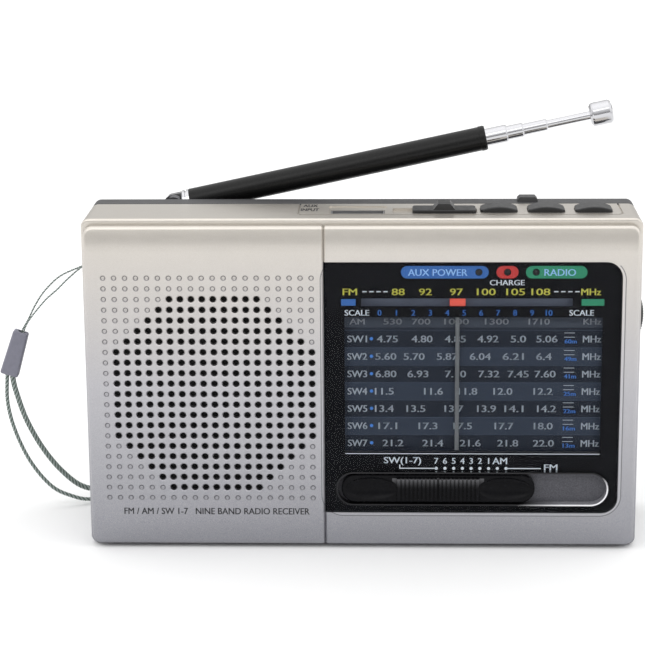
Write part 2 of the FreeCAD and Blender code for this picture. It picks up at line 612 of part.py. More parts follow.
def build_pointer():
    """The needle on its carrier, which rides on the frame's top edge and is clipped to the cord."""
    needle_front = d.lens_back_y + 0.4
    needle = box(d.pointer_x - 0.5, d.pointer_x + 0.5, needle_front, needle_front + 0.5,
                 d.window_low + 0.4, d.flag_slot_low)
    neck = box(d.pointer_x - 1.6, d.pointer_x + 1.6, needle_front, needle_front + 0.8,
               d.flag_slot_high + 0.6, d.rail_z + 1.2)
    saddle = box(d.pointer_x - 2.0, d.pointer_x + 2.0, needle_front, d.cord_y + 1.0,
                 d.rail_z + 0.1, d.rail_z + 0.1 + 1.9)
    cord_hole = rod("x", d.cord_y, d.pulley_z + d.pulley_radius, d.cord_radius + 0.06,
                    d.pointer_x - 4, d.pointer_x + 4)
    cut(fuse(needle_link(needle), neck, saddle), cord_hole, label="dial_pointer")
    flag = box(d.pointer_x - 1.92, d.pointer_x + 1.92, needle_front - 0.15, needle_front + 0.85,
               d.flag_slot_low - 0.5, d.flag_slot_high + 0.6)
    cut(flag, box(d.pointer_x - 0.55, d.pointer_x + 0.55, needle_front + 0.25, needle_front + 1,
                  d.flag_slot_low - 1, d.flag_slot_high + 0.6), label="pointer_flag")


def needle_link(needle):
    """Joins the needle to the carrier with a thin strip that runs behind the flag."""
    start = d.lens_back_y + 0.66
    strip = box(d.pointer_x - 0.5, d.pointer_x + 0.5, start, start + 0.54, d.flag_slot_low - 0.6,
                d.flag_slot_high + 1)
    link = box(d.pointer_x - 0.5, d.pointer_x + 0.5, start - 0.2, start + 0.54, d.flag_slot_low - 1.2,
               d.flag_slot_low - 0.6)
    tip = box(d.pointer_x - 1, d.pointer_x + 1, d.lens_back_y - 1, d.lens_back_y + 0.66,
              d.flag_slot_low - 0.52, d.flag_slot_low + 1)
    return cut(fuse(needle, strip, link), tip)


# ---------------------------------------------------------------- tuning drive
def toothed_disc(radius, depth, count, x, z, y0, y1):
    """A knurled wheel: a disc whose rim is a ring of small teeth."""
    points = []
    for tooth in range(count):
        for share, reach in ((0.0, radius - depth), (0.3, radius), (0.7, radius)):
            turn = 2 * math.pi * (tooth + share) / count
            points.append(Vector(x + reach * math.cos(turn), y0, z + reach * math.sin(turn)))
    ring = Part.makePolygon(points + points[:1])
    return made(Part.Face(ring).extrude(Vector(0, y1 - y0, 0)))


def cord_reel(groove_radius, flange_radius, bore_radius):
    """Half section of a reel for the cord, as (distance from the cord's plane, radius)."""
    return [(-1.0, bore_radius), (-1.0, flange_radius), (-0.62, flange_radius), (-0.34, groove_radius),
            (0.34, groove_radius), (0.62, flange_radius), (1.0, flange_radius), (1.0, bore_radius)]


def build_tuning_drive():
    """Thumbwheel, its axle, the cord and its pulleys, the drum and the variable capacitor."""
    rim = toothed_disc(SIZES["tuning_wheel_radius"], 0.32, 137, SIZES["tuning_x"], SIZES["tuning_z"],
                       SIZES["tuning_front_y"], SIZES["tuning_back_y"])
    dish = rod("y", d.tuning_x, d.tuning_z, 11.0, d.tuning_back_y - 1.4, d.tuning_back_y + 1)
    hub = rod("y", d.tuning_x, d.tuning_z, 4.2, d.cord_y + 0.8, d.tuning_back_y - 1.4)
    reel = turned("y", cord_reel(d.spindle_radius - d.cord_radius - 0.02, d.spindle_radius + 0.8,
                                 d.axle_radius + d.slip), d.tuning_x, d.cord_y, d.tuning_z)
    bore = rod("y", d.tuning_x, d.tuning_z, d.axle_radius + d.slip, d.cord_y - 2, d.tuning_back_y + 1)
    cut(fuse(cut(rim, dish), hub, reel), bore, label="tuning_wheel")
    turned("y", [(0, 0), (0, d.axle_radius), (18.6, d.axle_radius), (19, d.axle_radius - 0.4), (19, 0)],
           d.tuning_x, d.backing_back_y + 0.9, d.tuning_z, label="tuning_axle")

    for name, x in (("cord_pulley_left", d.pulley_left_x), ("cord_pulley_right", d.pulley_right_x)):
        turned("y", cord_reel(d.pulley_radius - d.cord_radius - 0.02, d.pulley_radius + 0.6, 0.9 + d.slip),
               x, d.cord_y, d.pulley_z, label=name)

    drum = turned("y", cord_reel(d.drum_radius - d.cord_radius - 0.02, d.drum_radius + 0.74, 3.0),
                  d.drum_x, d.cord_y, d.drum_z)
    windows = [rod("y", d.drum_x + 7.8 * math.cos(turn), d.drum_z + 7.8 * math.sin(turn), 2.6,
                   d.cord_y - 2, d.cord_y + 2) for turn in [math.radians(30 + 60 * i) for i in range(6)]]
    collar = cut(rod("y", d.drum_x, d.drum_z, 4.6, d.cord_y + 0.9, d.cord_y + 2.6),
                 rod("y", d.drum_x, d.drum_z, 3.0, d.cord_y, d.cord_y + 4))
    cut(fuse(drum, collar), *windows, label="tuning_drum")

    board_back = d.board_front_y + d.board_thick
    case = block("y", 1.0, d.drum_x - 10, d.drum_x + 10, board_back, board_back + 9.6,
                 d.drum_z - 10, d.drum_z + 10)
    inside = box(d.drum_x - 8.8, d.drum_x + 8.8, board_back + 1.2, board_back + 8.4,
                 d.drum_z - 8.8, d.drum_z + 8.8)
    neck = rod("y", d.drum_x, d.drum_z, 3.0 + d.slip, board_back - 1, board_back + 2)
    cut(case, inside, neck, label="tuning_capacitor")
    vanes = [cut(rod("y", d.drum_x, d.drum_z, 8.0, board_back + 1.8 + step * 1.2,
                     board_back + 2.2 + step * 1.2),
                 box(d.drum_x - 9, d.drum_x + 9, board_back, board_back + 10, d.drum_z, d.drum_z + 9))
             for step in range(5)]
    fuse(turned("y", [(0, 0), (0, 3.0), (d.board_thick - d.cord_y + d.board_front_y + 4.4, 3.0),
                      (d.board_thick - d.cord_y + d.board_front_y + 9.0, 3.0),
                      (d.board_thick - d.cord_y + d.board_front_y + 9.0, 0)],
                d.drum_x, d.cord_y - 1.0, d.drum_z), *vanes, label="capacitor_shaft")


def cord_circles():
    """The four circles the cord runs round, clockwise from the upper left, as (x, z, radius)."""
    names = [("pulley_left_x", "pulley_z", "pulley_radius"), ("pulley_right_x", "pulley_z", "pulley_radius"),
             ("tuning_x", "tuning_z", "spindle_radius"), ("drum_x", "drum_z", "drum_radius")]
    return [tuple(SIZES[name] for name in row) for row in names]


def build_dial_cord():
    """A closed loop of cord: straight between the circles and curved round each of them."""
    circles = cord_circles()
    y = SIZES["cord_y"]
    touches = []
    for (x0, z0, r0), (x1, z1, r1) in zip(circles, circles[1:] + circles[:1]):
        length = math.hypot(x1 - x0, z1 - z0)
        run_x, run_z = (x1 - x0) / length, (z1 - z0) / length
        lean = (r0 - r1) / length
        square = math.sqrt(1 - lean ** 2)
        out_x, out_z = -run_z * square + run_x * lean, run_x * square + run_z * lean
        touches.append((Vector(x0 + r0 * out_x, y, z0 + r0 * out_z),
                        Vector(x1 + r1 * out_x, y, z1 + r1 * out_z)))
    edges = []
    for i, (leave, arrive) in enumerate(touches):
        edges.append(Part.LineSegment(leave, arrive).toShape())
        x, z, radius = circles[(i + 1) % len(circles)]
        depart = touches[(i + 1) % len(touches)][0]
        centre = Vector(x, y, z)
        middle = (arrive - centre) + (depart - centre)
        middle.normalize()
        edges.append(Part.Arc(arrive, centre + middle * radius, depart).toShape())
    path = Part.Wire(edges)
    start, onward = touches[0]
    ring = Part.Wire(Part.Circle(start, onward - start, SIZES["cord_radius"]).toShape())
    made(path.makePipeShell([ring], True, False), label="dial_cord")


def build_volume():
    """The volume thumbwheel and the potentiometer that its hub turns in."""
    board_back = d.board_front_y + d.board_thick
    pot = rod("y", d.volume_x, d.volume_z, 6.1, board_back, board_back + 3.8)
    socket = rod("y", d.volume_x, d.volume_z, 3.0, board_back + 0.8, board_back + 5)
    cut(pot, socket, label="volume_pot")
    rim = toothed_disc(SIZES["volume_wheel_radius"], 0.3, 88, SIZES["volume_x"], SIZES["volume_z"],
                       SIZES["tuning_front_y"] + 0.3, SIZES["tuning_back_y"] - 0.3)
    dish = rod("y", d.volume_x, d.volume_z, 6.6, d.tuning_back_y - 1.3, d.tuning_back_y + 1)
    hub = rod("y", d.volume_x, d.volume_z, 3.0 - d.slip, board_back + 1.0, d.tuning_back_y - 2)
    fuse(cut(rim, dish), hub, label="volume_wheel")


# ---------------------------------------------------------------- band and deck switches, buttons
def build_band_selector():
    """The long slider with thumb dips at both ends and ribs between, and the switch it works."""
    front, back = d.front_y + 0.3, d.tray_floor_y - 0.1
    right = d.knob_left + d.knob_length
    slab = bevelled(stadium(d.knob_left, right, d.tray_z, d.knob_radius, front, back), 0.3,
                    flat_at("y", front))
    dips = []
    for x in (d.knob_left + 7.4, right - 7.4):
        bowl = doc.addObject("Part::Ellipsoid", "bowl")
        bind(bowl, "Radius1", 3.2)
        bind(bowl, "Radius2", 6.9)
        bind(bowl, "Radius3", 1.7)
        dips.append(done(put(bowl, x, front - 0.55, d.tray_z)))
    pad = block("z", 0.5, knob_mid - 10.3, knob_mid + 10.3, front - 0.85, front + 0.6,
                d.tray_z - 2.9, d.tray_z + 2.9)
    stem = box(knob_mid - 1.6, knob_mid + 1.6, back - 0.2, d.tray_back_y + 0.5,
               d.tray_z - 0.9, d.tray_z + 0.9)
    body = fuse(cut(slab, *dips), pad, stem)
    ribs = [box(knob_mid - 0.22 + step * 1.02, knob_mid + 0.22 + step * 1.02, front - 2, front - 0.3,
                d.tray_z - 4, d.tray_z + 4) for step in range(-9, 10)]
    notch = box(knob_mid - 0.3, knob_mid + 0.3, front - 2, front + 0.35, d.tray_z - 4, d.tray_z + 4)
    cut(body, *ribs, notch, label="band_knob")
    middle = knob_mid + d.band_travel / 2
    can = box(middle - 20, middle + 20, d.board_front_y - 5.6, d.board_front_y,
              d.tray_z - 3.8, d.tray_z + 3.8)
    slot = box(knob_mid - 2.0, knob_mid + d.band_travel + 2.0, d.board_front_y - 6, d.board_front_y - 2.6,
               d.tray_z - 1.3, d.tray_z + 1.3)
    cut(can, slot, label="band_switch")
    box(knob_mid - 1.5, knob_mid + 1.5, d.tray_back_y + 0.5, d.board_front_y - 2.8, d.tray_z - 1.0,
        d.tray_z + 1.0, label="band_switch_slider")


def build_deck_switch():
    right, left = d.switch_right, d.switch_right - d.switch_length
    near, far = d.switch_y - d.switch_depth / 2, d.switch_y + d.switch_depth / 2
    bar = bevelled(block("z", 0.9, left, right, near, far, d.height - 0.5, d.height + 0.8), 0.2,
                   flat_at("z", d.height + 0.8))
    top_z = d.height + 2.25
    nub = padded([(d.switch_nub_x - 2.8, d.height + 0.7), (d.switch_nub_x + 2.8, d.height + 0.7),
                  (d.switch_nub_x + 1.5, top_z), (d.switch_nub_x - 1.5, top_z)], near + 0.25, far - 0.25)
    stem = box(d.switch_nub_x - 1.4, d.switch_nub_x + 1.4, d.switch_y - 0.9, d.switch_y + 0.9,
               d.height - 6.4, d.height - 0.3)
    fuse(bar, nub, stem, label="function_knob")
    middle = d.switch_nub_x - d.switch_travel / 2
    can = box(middle - 7.5, middle + 7.5, d.player_front_y - 5.0, d.player_front_y,
              d.height - 9.6, d.height - 4.0)
    slot = box(middle - d.switch_travel / 2 - 1.8, middle + d.switch_travel / 2 + 1.8,
               d.switch_y - 1.2, d.switch_y + 1.2, d.height - 6.8, d.height)
    cut(can, slot, label="function_switch")


def build_buttons():
    """Three domed buttons, each held under the deck by its flange, over three small switches."""
    half_w, half_d = d.button_width / 2, d.button_depth / 2
    names = ("previous_button", "play_button", "next_button")
    stem_y = d.player_front_y - 2.0
    flange_top = inner_high - 0.1
    for name, x in zip(names, button_places):
        cap = block("z", d.button_corner, x - half_w, x + half_w, d.button_y - half_d, d.button_y + half_d,
                    flange_top - 0.2, d.button_top)
        dome = rod("y", x, d.button_top - d.button_dome, d.button_dome,
                   d.button_y - half_d - 1, d.button_y + half_d + 1)
        flange = block("z", 1.5, x - half_w - 0.5, x + half_w + 0.5, d.button_y - half_d - 0.4,
                       d.button_y + half_d + 0.4, flange_top - 0.8, flange_top)
        stem = box(x - 1.2, x + 1.2, stem_y - 1.2, stem_y + 1.2, 78.4, flange_top - 0.5)
        cap_top = rounded(common(cap, dome), 0.35,
                          lambda edge: edge.BoundBox.ZMin > SIZES["button_top"] - 1.2)
        fuse(cap_top, flange, stem, label=name)
    switches = []
    for x in button_places:
        can = box(x - 3, x + 3, d.player_front_y - 4.0, d.player_front_y, 73.0, 77.0)
        switches.append(fuse(can, rod("z", x, stem_y, 1.5, 76.8, 77.85)))
    group("button_switches", *switches)


# ---------------------------------------------------------------- electronics
def build_boards():
    """The main board behind the dial, and the small board that carries the deck controls."""
    low, shelf_top, top, tab_top = 10.4, 38.0, 68.8, 72.6
    board = padded([(-5.0, low), (64.0, low), (64.0, shelf_top), (47.0, shelf_top), (47.0, top),
                    (14.0, top), (14.0, tab_top), (7.0, tab_top), (7.0, top), (-5.0, top)],
                   d.board_front_y, d.board_front_y + d.board_thick)
    shaft_hole = rod("y", d.drum_x, d.drum_z, 3.4, d.board_front_y - 1, d.board_front_y + 2)
    screw_holes = at_screws(board_post_places(), 1.1, d.board_front_y - 1, d.board_front_y + 2)
    cut(board, shaft_hole, *screw_holes, label="main_board")
    box(-14.0, 58.6, d.player_front_y, d.player_front_y + d.board_thick, d.player_low_z, d.player_high_z,
        label="player_board")
    leds = []
    for x in led_places():
        bulb = rod("y", x, d.led_z, d.led_radius - 0.05, d.mask_back_y + 0.1, d.mask_back_y + 4.6)
        dome = rounded(bulb, 0.9, flat_at("y", d.mask_back_y + 0.1))
        base = rod("y", x, d.led_z, d.led_radius + 0.35, d.mask_back_y + 4.0, d.mask_back_y + 4.8)
        legs = [box(x + side - 0.2, x + side + 0.2, d.mask_back_y + 4.6, d.player_front_y,
                    d.player_low_z + 0.2, d.player_low_z + 0.6) for side in (-0.9, 0.9)]
        leds.append(fuse(dome, base, *legs))
    group("indicator_leds", *leds)


def build_usb_socket():
    """A type A socket: a folded metal can with its contact tongue inside."""
    half_w, half_d, wall = 6.6, 2.5, 0.3
    near, far = d.usb_y - half_d, d.usb_y + half_d
    low, top = d.height - 13.8, d.height - 0.35
    can = block("z", 0.6, d.usb_x - half_w, d.usb_x + half_w, near, far, low, top)
    hollow = box(d.usb_x - half_w + wall, d.usb_x + half_w - wall, near + wall, far - wall,
                 low + 1.2, top + 1)
    tongue = box(d.usb_x - 5.6, d.usb_x + 5.6, far - wall - 1.9, far - wall - 0.1, low + 1.0, top - 1.4)
    feet = [box(d.usb_x + side * 5.2 - 0.8, d.usb_x + side * 5.2 + 0.8, far - 0.2, d.player_front_y,
                d.player_low_z + 1, d.player_low_z + 4) for side in (-1, 1)]
    fuse(cut(can, hollow), tongue, *feet, label="usb_socket")


def build_side_sockets():
    """The earphone and charging sockets in the left side."""
    nose_x = -half_width + 0.2
    body = box(-inner_half + 0.1, -54, d.jack_y - 3, d.jack_y + 3, d.jack_z - 3, d.jack_z + 3)
    nose = rod("x", d.jack_y, d.jack_z, 3.0, nose_x, -inner_half + 0.5)
    bore = rod("x", d.jack_y, d.jack_z, d.jack_bore_radius, nose_x - 1, nose_x + 13.8)
    cut(fuse(body, nose), bore, label="headphone_jack")
    shell = block("x", 0.8, -half_width + 0.3, -59.5, d.jack_y - 3.9, d.jack_y + 3.9,
                  d.charge_z - 1.95, d.charge_z + 1.95)
    mouth = block("x", 0.6, -half_width - 1, -61, d.jack_y - 3.5, d.jack_y + 3.5,
                  d.charge_z - 1.55, d.charge_z + 1.55)
    tongue = box(-half_width + 1.2, -60.8, d.jack_y - 2.4, d.jack_y + 2.4, d.charge_z + 0.2, d.charge_z + 1.0)
    fuse(cut(shell, mouth), tongue, label="charge_socket")


def build_speaker():
    """A 52 mm loudspeaker, front flange against the cloth behind the grille."""
    x, z = d.grille_x, d.grille_z
    cloth_y = d.front_y + d.panel_skin
    face_y = cloth_y + 0.2
    notches = at_screws(speaker_screw_places(), 2.0, cloth_y - 1, face_y + 1)
    past_wall = box(d.groove_x - d.groove_gap / 2 - d.groove_wall - 0.1, d.groove_x + 5,
                    cloth_y - 1, face_y + 1, z - 20, z + 20)
    cut(rod("y", x, z, d.speaker_radius + 1.6, cloth_y, face_y), *notches, past_wall, label="grille_cloth")
    basket = [(0, 22.4), (0, 26.0), (0.9, 26.0), (0.9, 24.0), (7.6, 14.6), (8.6, 14.6), (8.6, 6.6),
              (7.8, 6.6), (7.8, 13.6), (7.2, 13.8), (0.8, 22.8)]
    frame = turned("y", basket, x, face_y, z)
    turns = [math.radians(60 + 120 * i) for i in range(3)]
    windows = [rod("y", x + 18.2 * math.cos(turn), z + 18.2 * math.sin(turn), 3.4, face_y + 2, face_y + 7.4)
               for turn in turns]
    cut(frame, *windows, label="speaker_frame")
    turned("y", [(8.6, 0), (8.6, 5.2), (7.0, 5.2), (7.0, 5.6), (9.0, 5.6), (9.0, 6.4), (8.6, 6.4),
                 (8.6, 13.6), (9.6, 14.0), (14.6, 14.0), (15.4, 13.2), (15.4, 0)],
           x, face_y, z, label="speaker_magnet")
    turned("y", [(5.6, 0), (4.6, 4.0), (6.6, 6.2), (1.2, 18.0), (0.5, 20.2), (0.2, 21.6), (0.2, 22.3),
                 (0.9, 22.3), (0.9, 21.4), (1.6, 18.4), (6.8, 6.6), (6.8, 5.2), (5.4, 3.8), (6.2, 0)],
           x, face_y, z, label="speaker_cone")


def build_ferrite():
    """The rod aerial for the AM band, its coil, and the two holders that hang from the deck."""
    y, z, radius = d.ferrite_y, d.ferrite_z, d.ferrite_radius
    rod("x", y, z, radius, -60, -16, label="ferrite_rod")
    coil = rod("x", y, z, radius + 1.0, -48, -26)
    cut(coil, rod("x", y, z, radius + 0.03, -50, -24), label="ferrite_coil")
    holders = []
    for x in (-56.0, -20.0):
        clip = box(as_size(x) - 1.5, as_size(x) + 1.5, y - 2.8, y + 2.8, z - radius - 1.6, inner_high)
        eye = rod("x", y, z, radius + 1.6, as_size(x) - 1.5, as_size(x) + 1.5)
        holders.append(cut(fuse(clip, eye), rod("x", y, z, radius + 0.03, as_size(x) - 3, as_size(x) + 3)))
    group("ferrite_holders", *holders)


def machine_screw(x, z, head_y, head_radius, head_height, shank_radius, length):
    """A cross-head screw that points to the front, its head towards the back."""
    profile = [(-length, 0), (-length, shank_radius * 0.5), (-length + shank_radius, shank_radius),
               (0, shank_radius), (0, head_radius), (head_height * 0.45, head_radius),
               (head_height, head_radius * 0.62), (head_height, 0)]
    blank = turned("y", profile, x, head_y, z)
    top = as_size(head_y) + head_height
    reach, half = head_radius * 0.55, 0.22
    cross = [box(x - reach, x + reach, top - 0.5, top + 1, z - half, z + half),
             box(x - half, x + half, top - 0.5, top + 1, z - reach, z + reach)]
    return cut(blank, *cross)


def build_screws():
    head_radius, shank_radius = SIZES["screw_head_radius"], SIZES["screw_radius"]
    cabinet = [machine_screw(x, z, d.screw_head_y, head_radius, 1.7, shank_radius, length)
               for places, length in ((low_screws, 11.0), (top_screws, 6.0)) for x, z in places]
    group("cabinet_screws", *cabinet)
    board_head_y = d.board_front_y + d.board_thick
    board = [machine_screw(x, z, board_head_y, 1.8, 1.2, 0.75, 4.6) for x, z in board_post_places()]
    speaker_head_y = d.front_y + 3.1
    speaker = [machine_screw(x, z, speaker_head_y, 3.0, 0.9, 0.75, 1.0) for x, z in speaker_screw_places()]
    group("small_screws", *board, *speaker)


# ---------------------------------------------------------------- antenna
tilt = Rotation(Vector(0, 1, 0), -SIZES["mast_rise"])


def raised(obj, label):
    """Places a piece that was built level, with its hinge at the origin, at the resting rise."""
    put(obj, d.mast_x, d.mast_y, d.mast_z, tilt)
    return done(obj, label)


def telescope_tube(start, end, radius, bore, label, rim=0.0):
    """A thin tube with an eased mouth; the last millimetre can carry a raised rim."""
    profile = [(start, bore), (start, radius), (as_size(end) - 1.7, radius),
               (as_size(end) - 1.5, radius + rim), (as_size(end) - 0.4, radius + rim),
               (end, radius + rim - 0.25), (end, bore)]
    return raised(turned("x", profile), label)


def build_antenna():
    """Swivelling fork, hinge pin, knuckle, black tube, three chromed sections, rod and tip."""
    x, y, z = d.mast_x, d.mast_y, d.mast_z
    floor = d.step_z
    foot = turned("z", [(-5.6, 0), (-5.6, 2.0), (0.1, 2.0), (0.1, 3.9), (0.5, 3.9), (0.5, 0)], x, y, floor)
    ears = []
    for side in (-1, 1):
        low, high = (1.35, 2.7) if side > 0 else (-2.7, -1.35)
        cheek = rod("y", x, z, d.ear_radius, y + low, y + high)
        web = box(x - 2.0, x + 2.0, y + low, y + high, floor + 0.4, z)
        ears.append(fuse(common(cheek, box(x - 4, x + 4, y + low, y + high, floor + 0.4, z + 4)), web))
    pin_hole = rod("y", x, z, d.pin_radius, y - 4, y + 4)
    pilot = rod("z", x, y, 0.8, floor - 6, floor - 0.2)
    cut(fuse(foot, *ears), pin_hole, pilot, label="antenna_base")
    turned("y", [(-3.0, 0), (-3.0, 1.3), (-2.7, 1.3), (-2.7, d.pin_radius), (2.7, d.pin_radius),
                 (2.7, 1.3), (3.0, 1.3), (3.0, 0)], x, y, z, label="antenna_pin")
    retainer = turned("z", [(-6.6, 0), (-6.6, 1.6), (-6.0, 2.6), (-5.7, 2.6), (-5.7, 0.75), (-1.4, 0.75),
                            (-1.2, 0)], x, y, floor)
    done(retainer, "antenna_screw")

    disc = rod("y", 0, 0, d.tongue_radius, -1.25, 1.25)
    neck = box(0, 2.6, -1.25, 1.25, -d.tongue_radius, d.tongue_radius)
    full = d.tube_radius - 0.05
    rings = turned("x", [(2.45, 0), (2.45, full - 0.3), (2.75, full), (3.3, full), (3.4, full - 0.35),
                         (3.7, full - 0.35), (3.8, full), (4.4, full), (4.45, 2.2), (6.0, 2.2), (6.0, 0)])
    knuckle = cut(fuse(disc, neck, rings), rod("y", 0, 0, d.pin_radius + d.slip, -4, 4))
    raised(knuckle, "antenna_knuckle")

    bores = [d.section_1_radius, d.section_2_radius, d.section_3_radius, d.rod_radius]
    telescope_tube(d.tube_start, d.tube_end, d.tube_radius, bores[0] + d.slip, "antenna_tube", 0.12)
    telescope_tube(d.section_1_end - 76, d.section_1_end, bores[0], bores[1] + d.slip, "antenna_section_1")
    telescope_tube(d.section_2_end - 74, d.section_2_end, bores[1], bores[2] + d.slip, "antenna_section_2")
    telescope_tube(d.section_3_end - 72, d.section_3_end, bores[2], bores[3] + d.slip, "antenna_section_3")
    rod_start = d.rod_end - 70
    raised(turned("x", [(rod_start, 0), (rod_start, bores[3]), (d.rod_end, bores[3]), (d.rod_end, 0)]),
           "antenna_rod")
    tip = turned("x", [(d.rod_end, 0), (d.rod_end, 2.2), (d.rod_end + 0.5, d.tip_radius - 0.15),
                       (d.rod_end + 0.9, d.tip_radius), (d.tip_end - 0.8, d.tip_radius),
                       (d.tip_end - 0.25, d.tip_radius - 0.4), (d.tip_end, d.tip_radius - 1.2),
                       (d.tip_end, 0)])
    raised(tip, "antenna_tip")


# ---------------------------------------------------------------- wrist strap
def swept(points, radius):
    """A round cord that follows a smooth curve through a few points."""
    curve = Part.BSplineCurve()
    curve.interpolate([Vector(*point) for point in points])
    path = Part.Wire(curve.toShape())
    start = curve.value(curve.FirstParameter)
    ring = Part.Wire(Part.Circle(start, curve.tangent(curve.FirstParameter)[0], radius).toShape())
    return path.makePipeShell([ring], True, False)


def strap_bead(y):
    """A soft block, wider at the foot, with a pocket in its head for the string and one below."""
    body = padded([(-1.95, 0), (1.95, 0), (2.38, -12.1), (-2.38, -12.1)], y - 1.6, y + 1.6)
    soft = rounded(body, 0.55, lambda edge: True)
    throat = rod("z", 0.2, y, 1.05, -3, 1)
    cord_holes = [rod("z", x, y, 0.9, -13, -11.0) for x in (-0.8, 0.8)]
    return cut(soft, throat, *cord_holes)


def build_strap():
    """Wrist strap: a string through the side bar, a moulded bead, and the hand loop of cord."""
    y = SIZES["strap_y"]
    bar_x, bar_z = -SIZES["width"] / 2 + 1.3, SIZES["strap_z"] + 1.1
    bead_x, bead_z = -88.65, 48.75
    string = swept([(bar_x + 0.1, y + 1.5, bar_z + 0.2), (-70.0, y + 1.8, bar_z - 0.7),
                    (-72.8, 11.0, 65.7), (-78.1, 10.8, 63.3), (-82.2, 10.6, 59.5), (-84.8, 10.4, 55.7),
                    (-86.7, 10.3, 52.0), (-88.52, 10.25, 48.82), (-89.53, 10.3, 45.94)], 0.3)
    back_string = swept([(bar_x + 0.1, y - 1.5, bar_z), (-69.8, y - 1.7, bar_z - 0.3),
                         (-72.2, 7.0, 66.3), (-75.8, 7.5, 63.2), (-78.7, 8.0, 60.3), (-82.0, 8.5, 57.3),
                         (-86.5, 9.5, 51.8), (-88.05, 9.75, 48.67), (-88.86, 9.7, 45.73)], 0.3)
    group("strap_string", made(string), made(back_string))
    bead = strap_bead(y + 1.0)
    put(bead, bead_x, 0, bead_z, Rotation(Vector(0, 1, 0), 17.4))
    done(bead, "strap_bead")
    loop = [(-91.27, 10.0, 37.73), (-91.4, 10.05, 36.0), (-90.7, 10.5, 32.0), (-88.6, 11.9, 24.2),
            (-85.0, 14.1, 15.8), (-80.5, 16.6, 8.6), (-75.2, 19.4, 3.3), (-67.6, 22.9, 1.2),
            (-61.5, 24.8, 0.95), (-57.5, 25.05, 0.85), (-55.85, 23.4, 0.85), (-57.5, 21.75, 0.85),
            (-62.0, 21.3, 0.85), (-67.5, 20.3, 0.85), (-73.0, 15.8, 1.0), (-77.6, 13.9, 2.5),
            (-82.8, 12.6, 5.7), (-87.9, 11.6, 12.7), (-91.5, 10.8, 21.5), (-93.1, 10.2, 29.7),
            (-92.79, 10.0, 38.2)]
    made(swept(loop, 0.65), label="strap_cord")


# ---------------------------------------------------------------- build, check and write
build_speaker_panel()
build_dial_panel()
build_front_housing()
build_rear_cover()
build_battery_parts()
build_dial()
build_tuning_drive()
build_dial_cord()
build_volume()
build_band_selector()
build_deck_switch()
build_buttons()
build_boards()
build_usb_socket()
build_side_sockets()
build_speaker()
build_ferrite()
build_screws()
build_antenna()
build_strap()
doc.recompute()

for item in doc.Objects:
    if "Invalid" in item.State or "Error" in item.State:
        raise RuntimeError(f"{item.Name} ({item.Label}) failed to compute")
for label, piece in nodes.items():
    if piece.Shape.isNull() or not piece.Shape.isValid() or not piece.Shape.Solids:
        raise RuntimeError(f"{label} has no valid solid")
    piece.Shape.exportStep(f"parts/{label}.step")
print(f"{len(nodes)} pieces written")
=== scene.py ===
"""Looks of a pocket shortwave receiver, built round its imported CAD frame.

Everything is in metres in the frame's own axes: +X is the listener's right, +Y points from the
front panel to the back, +Z is up. Lengths below are written in millimetres times MM.
"""
import math

import bpy
from mathutils import Matrix, Vector


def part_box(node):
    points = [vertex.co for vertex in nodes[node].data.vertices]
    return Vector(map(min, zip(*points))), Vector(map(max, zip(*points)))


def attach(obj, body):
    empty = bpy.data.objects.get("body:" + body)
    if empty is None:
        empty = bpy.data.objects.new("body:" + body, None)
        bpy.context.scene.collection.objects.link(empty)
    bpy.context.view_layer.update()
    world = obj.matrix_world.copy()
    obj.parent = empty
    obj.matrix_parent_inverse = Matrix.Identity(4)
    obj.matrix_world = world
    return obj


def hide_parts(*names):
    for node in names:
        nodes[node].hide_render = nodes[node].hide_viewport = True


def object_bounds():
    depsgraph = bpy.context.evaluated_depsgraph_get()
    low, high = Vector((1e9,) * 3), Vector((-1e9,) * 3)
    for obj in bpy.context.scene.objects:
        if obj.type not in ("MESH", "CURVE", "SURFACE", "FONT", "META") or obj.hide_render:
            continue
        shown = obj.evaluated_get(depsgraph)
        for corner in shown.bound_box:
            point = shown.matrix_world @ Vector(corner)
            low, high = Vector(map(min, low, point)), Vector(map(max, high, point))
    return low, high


MM = 0.001
CABINET_HEIGHT = 83.6 * MM
# The grille's through holes fill an octagon about the grille's centre; dimples fill the rest.
GRILLE_REACH = 25.5 * MM
GRILLE_DIAGONAL = 36.2 * MM
GRILLE_FROM_LEFT, GRILLE_FROM_BOTTOM = 31.5 * MM, 39.3 * MM
GRILLE_HALF_WIDTH, GRILLE_HALF_HEIGHT = 28 * MM, 30.5 * MM
# The band slider's tray, measured from the lens's low corner.
TRAY_FLOOR_DEPTH, TRAY_MIDDLE, TRAY_HALF = 2.55 * MM, 6.05 * MM, 5.3 * MM
# The band slider: where its ribs end, and the glossy dips on either side of them.
RIBS_END, DIP_CENTRE, DIP_HALF, SLIDER_HALF = 11.4 * MM, 16.9 * MM, 7.0 * MM, 3.4 * MM
CIRCLE_STEPS = 24

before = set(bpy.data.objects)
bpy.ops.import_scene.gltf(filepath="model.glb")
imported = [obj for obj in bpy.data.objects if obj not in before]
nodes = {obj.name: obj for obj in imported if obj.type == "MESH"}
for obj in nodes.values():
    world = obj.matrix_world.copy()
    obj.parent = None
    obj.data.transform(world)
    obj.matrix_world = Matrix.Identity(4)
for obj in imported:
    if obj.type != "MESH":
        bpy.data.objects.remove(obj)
cad_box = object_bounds()


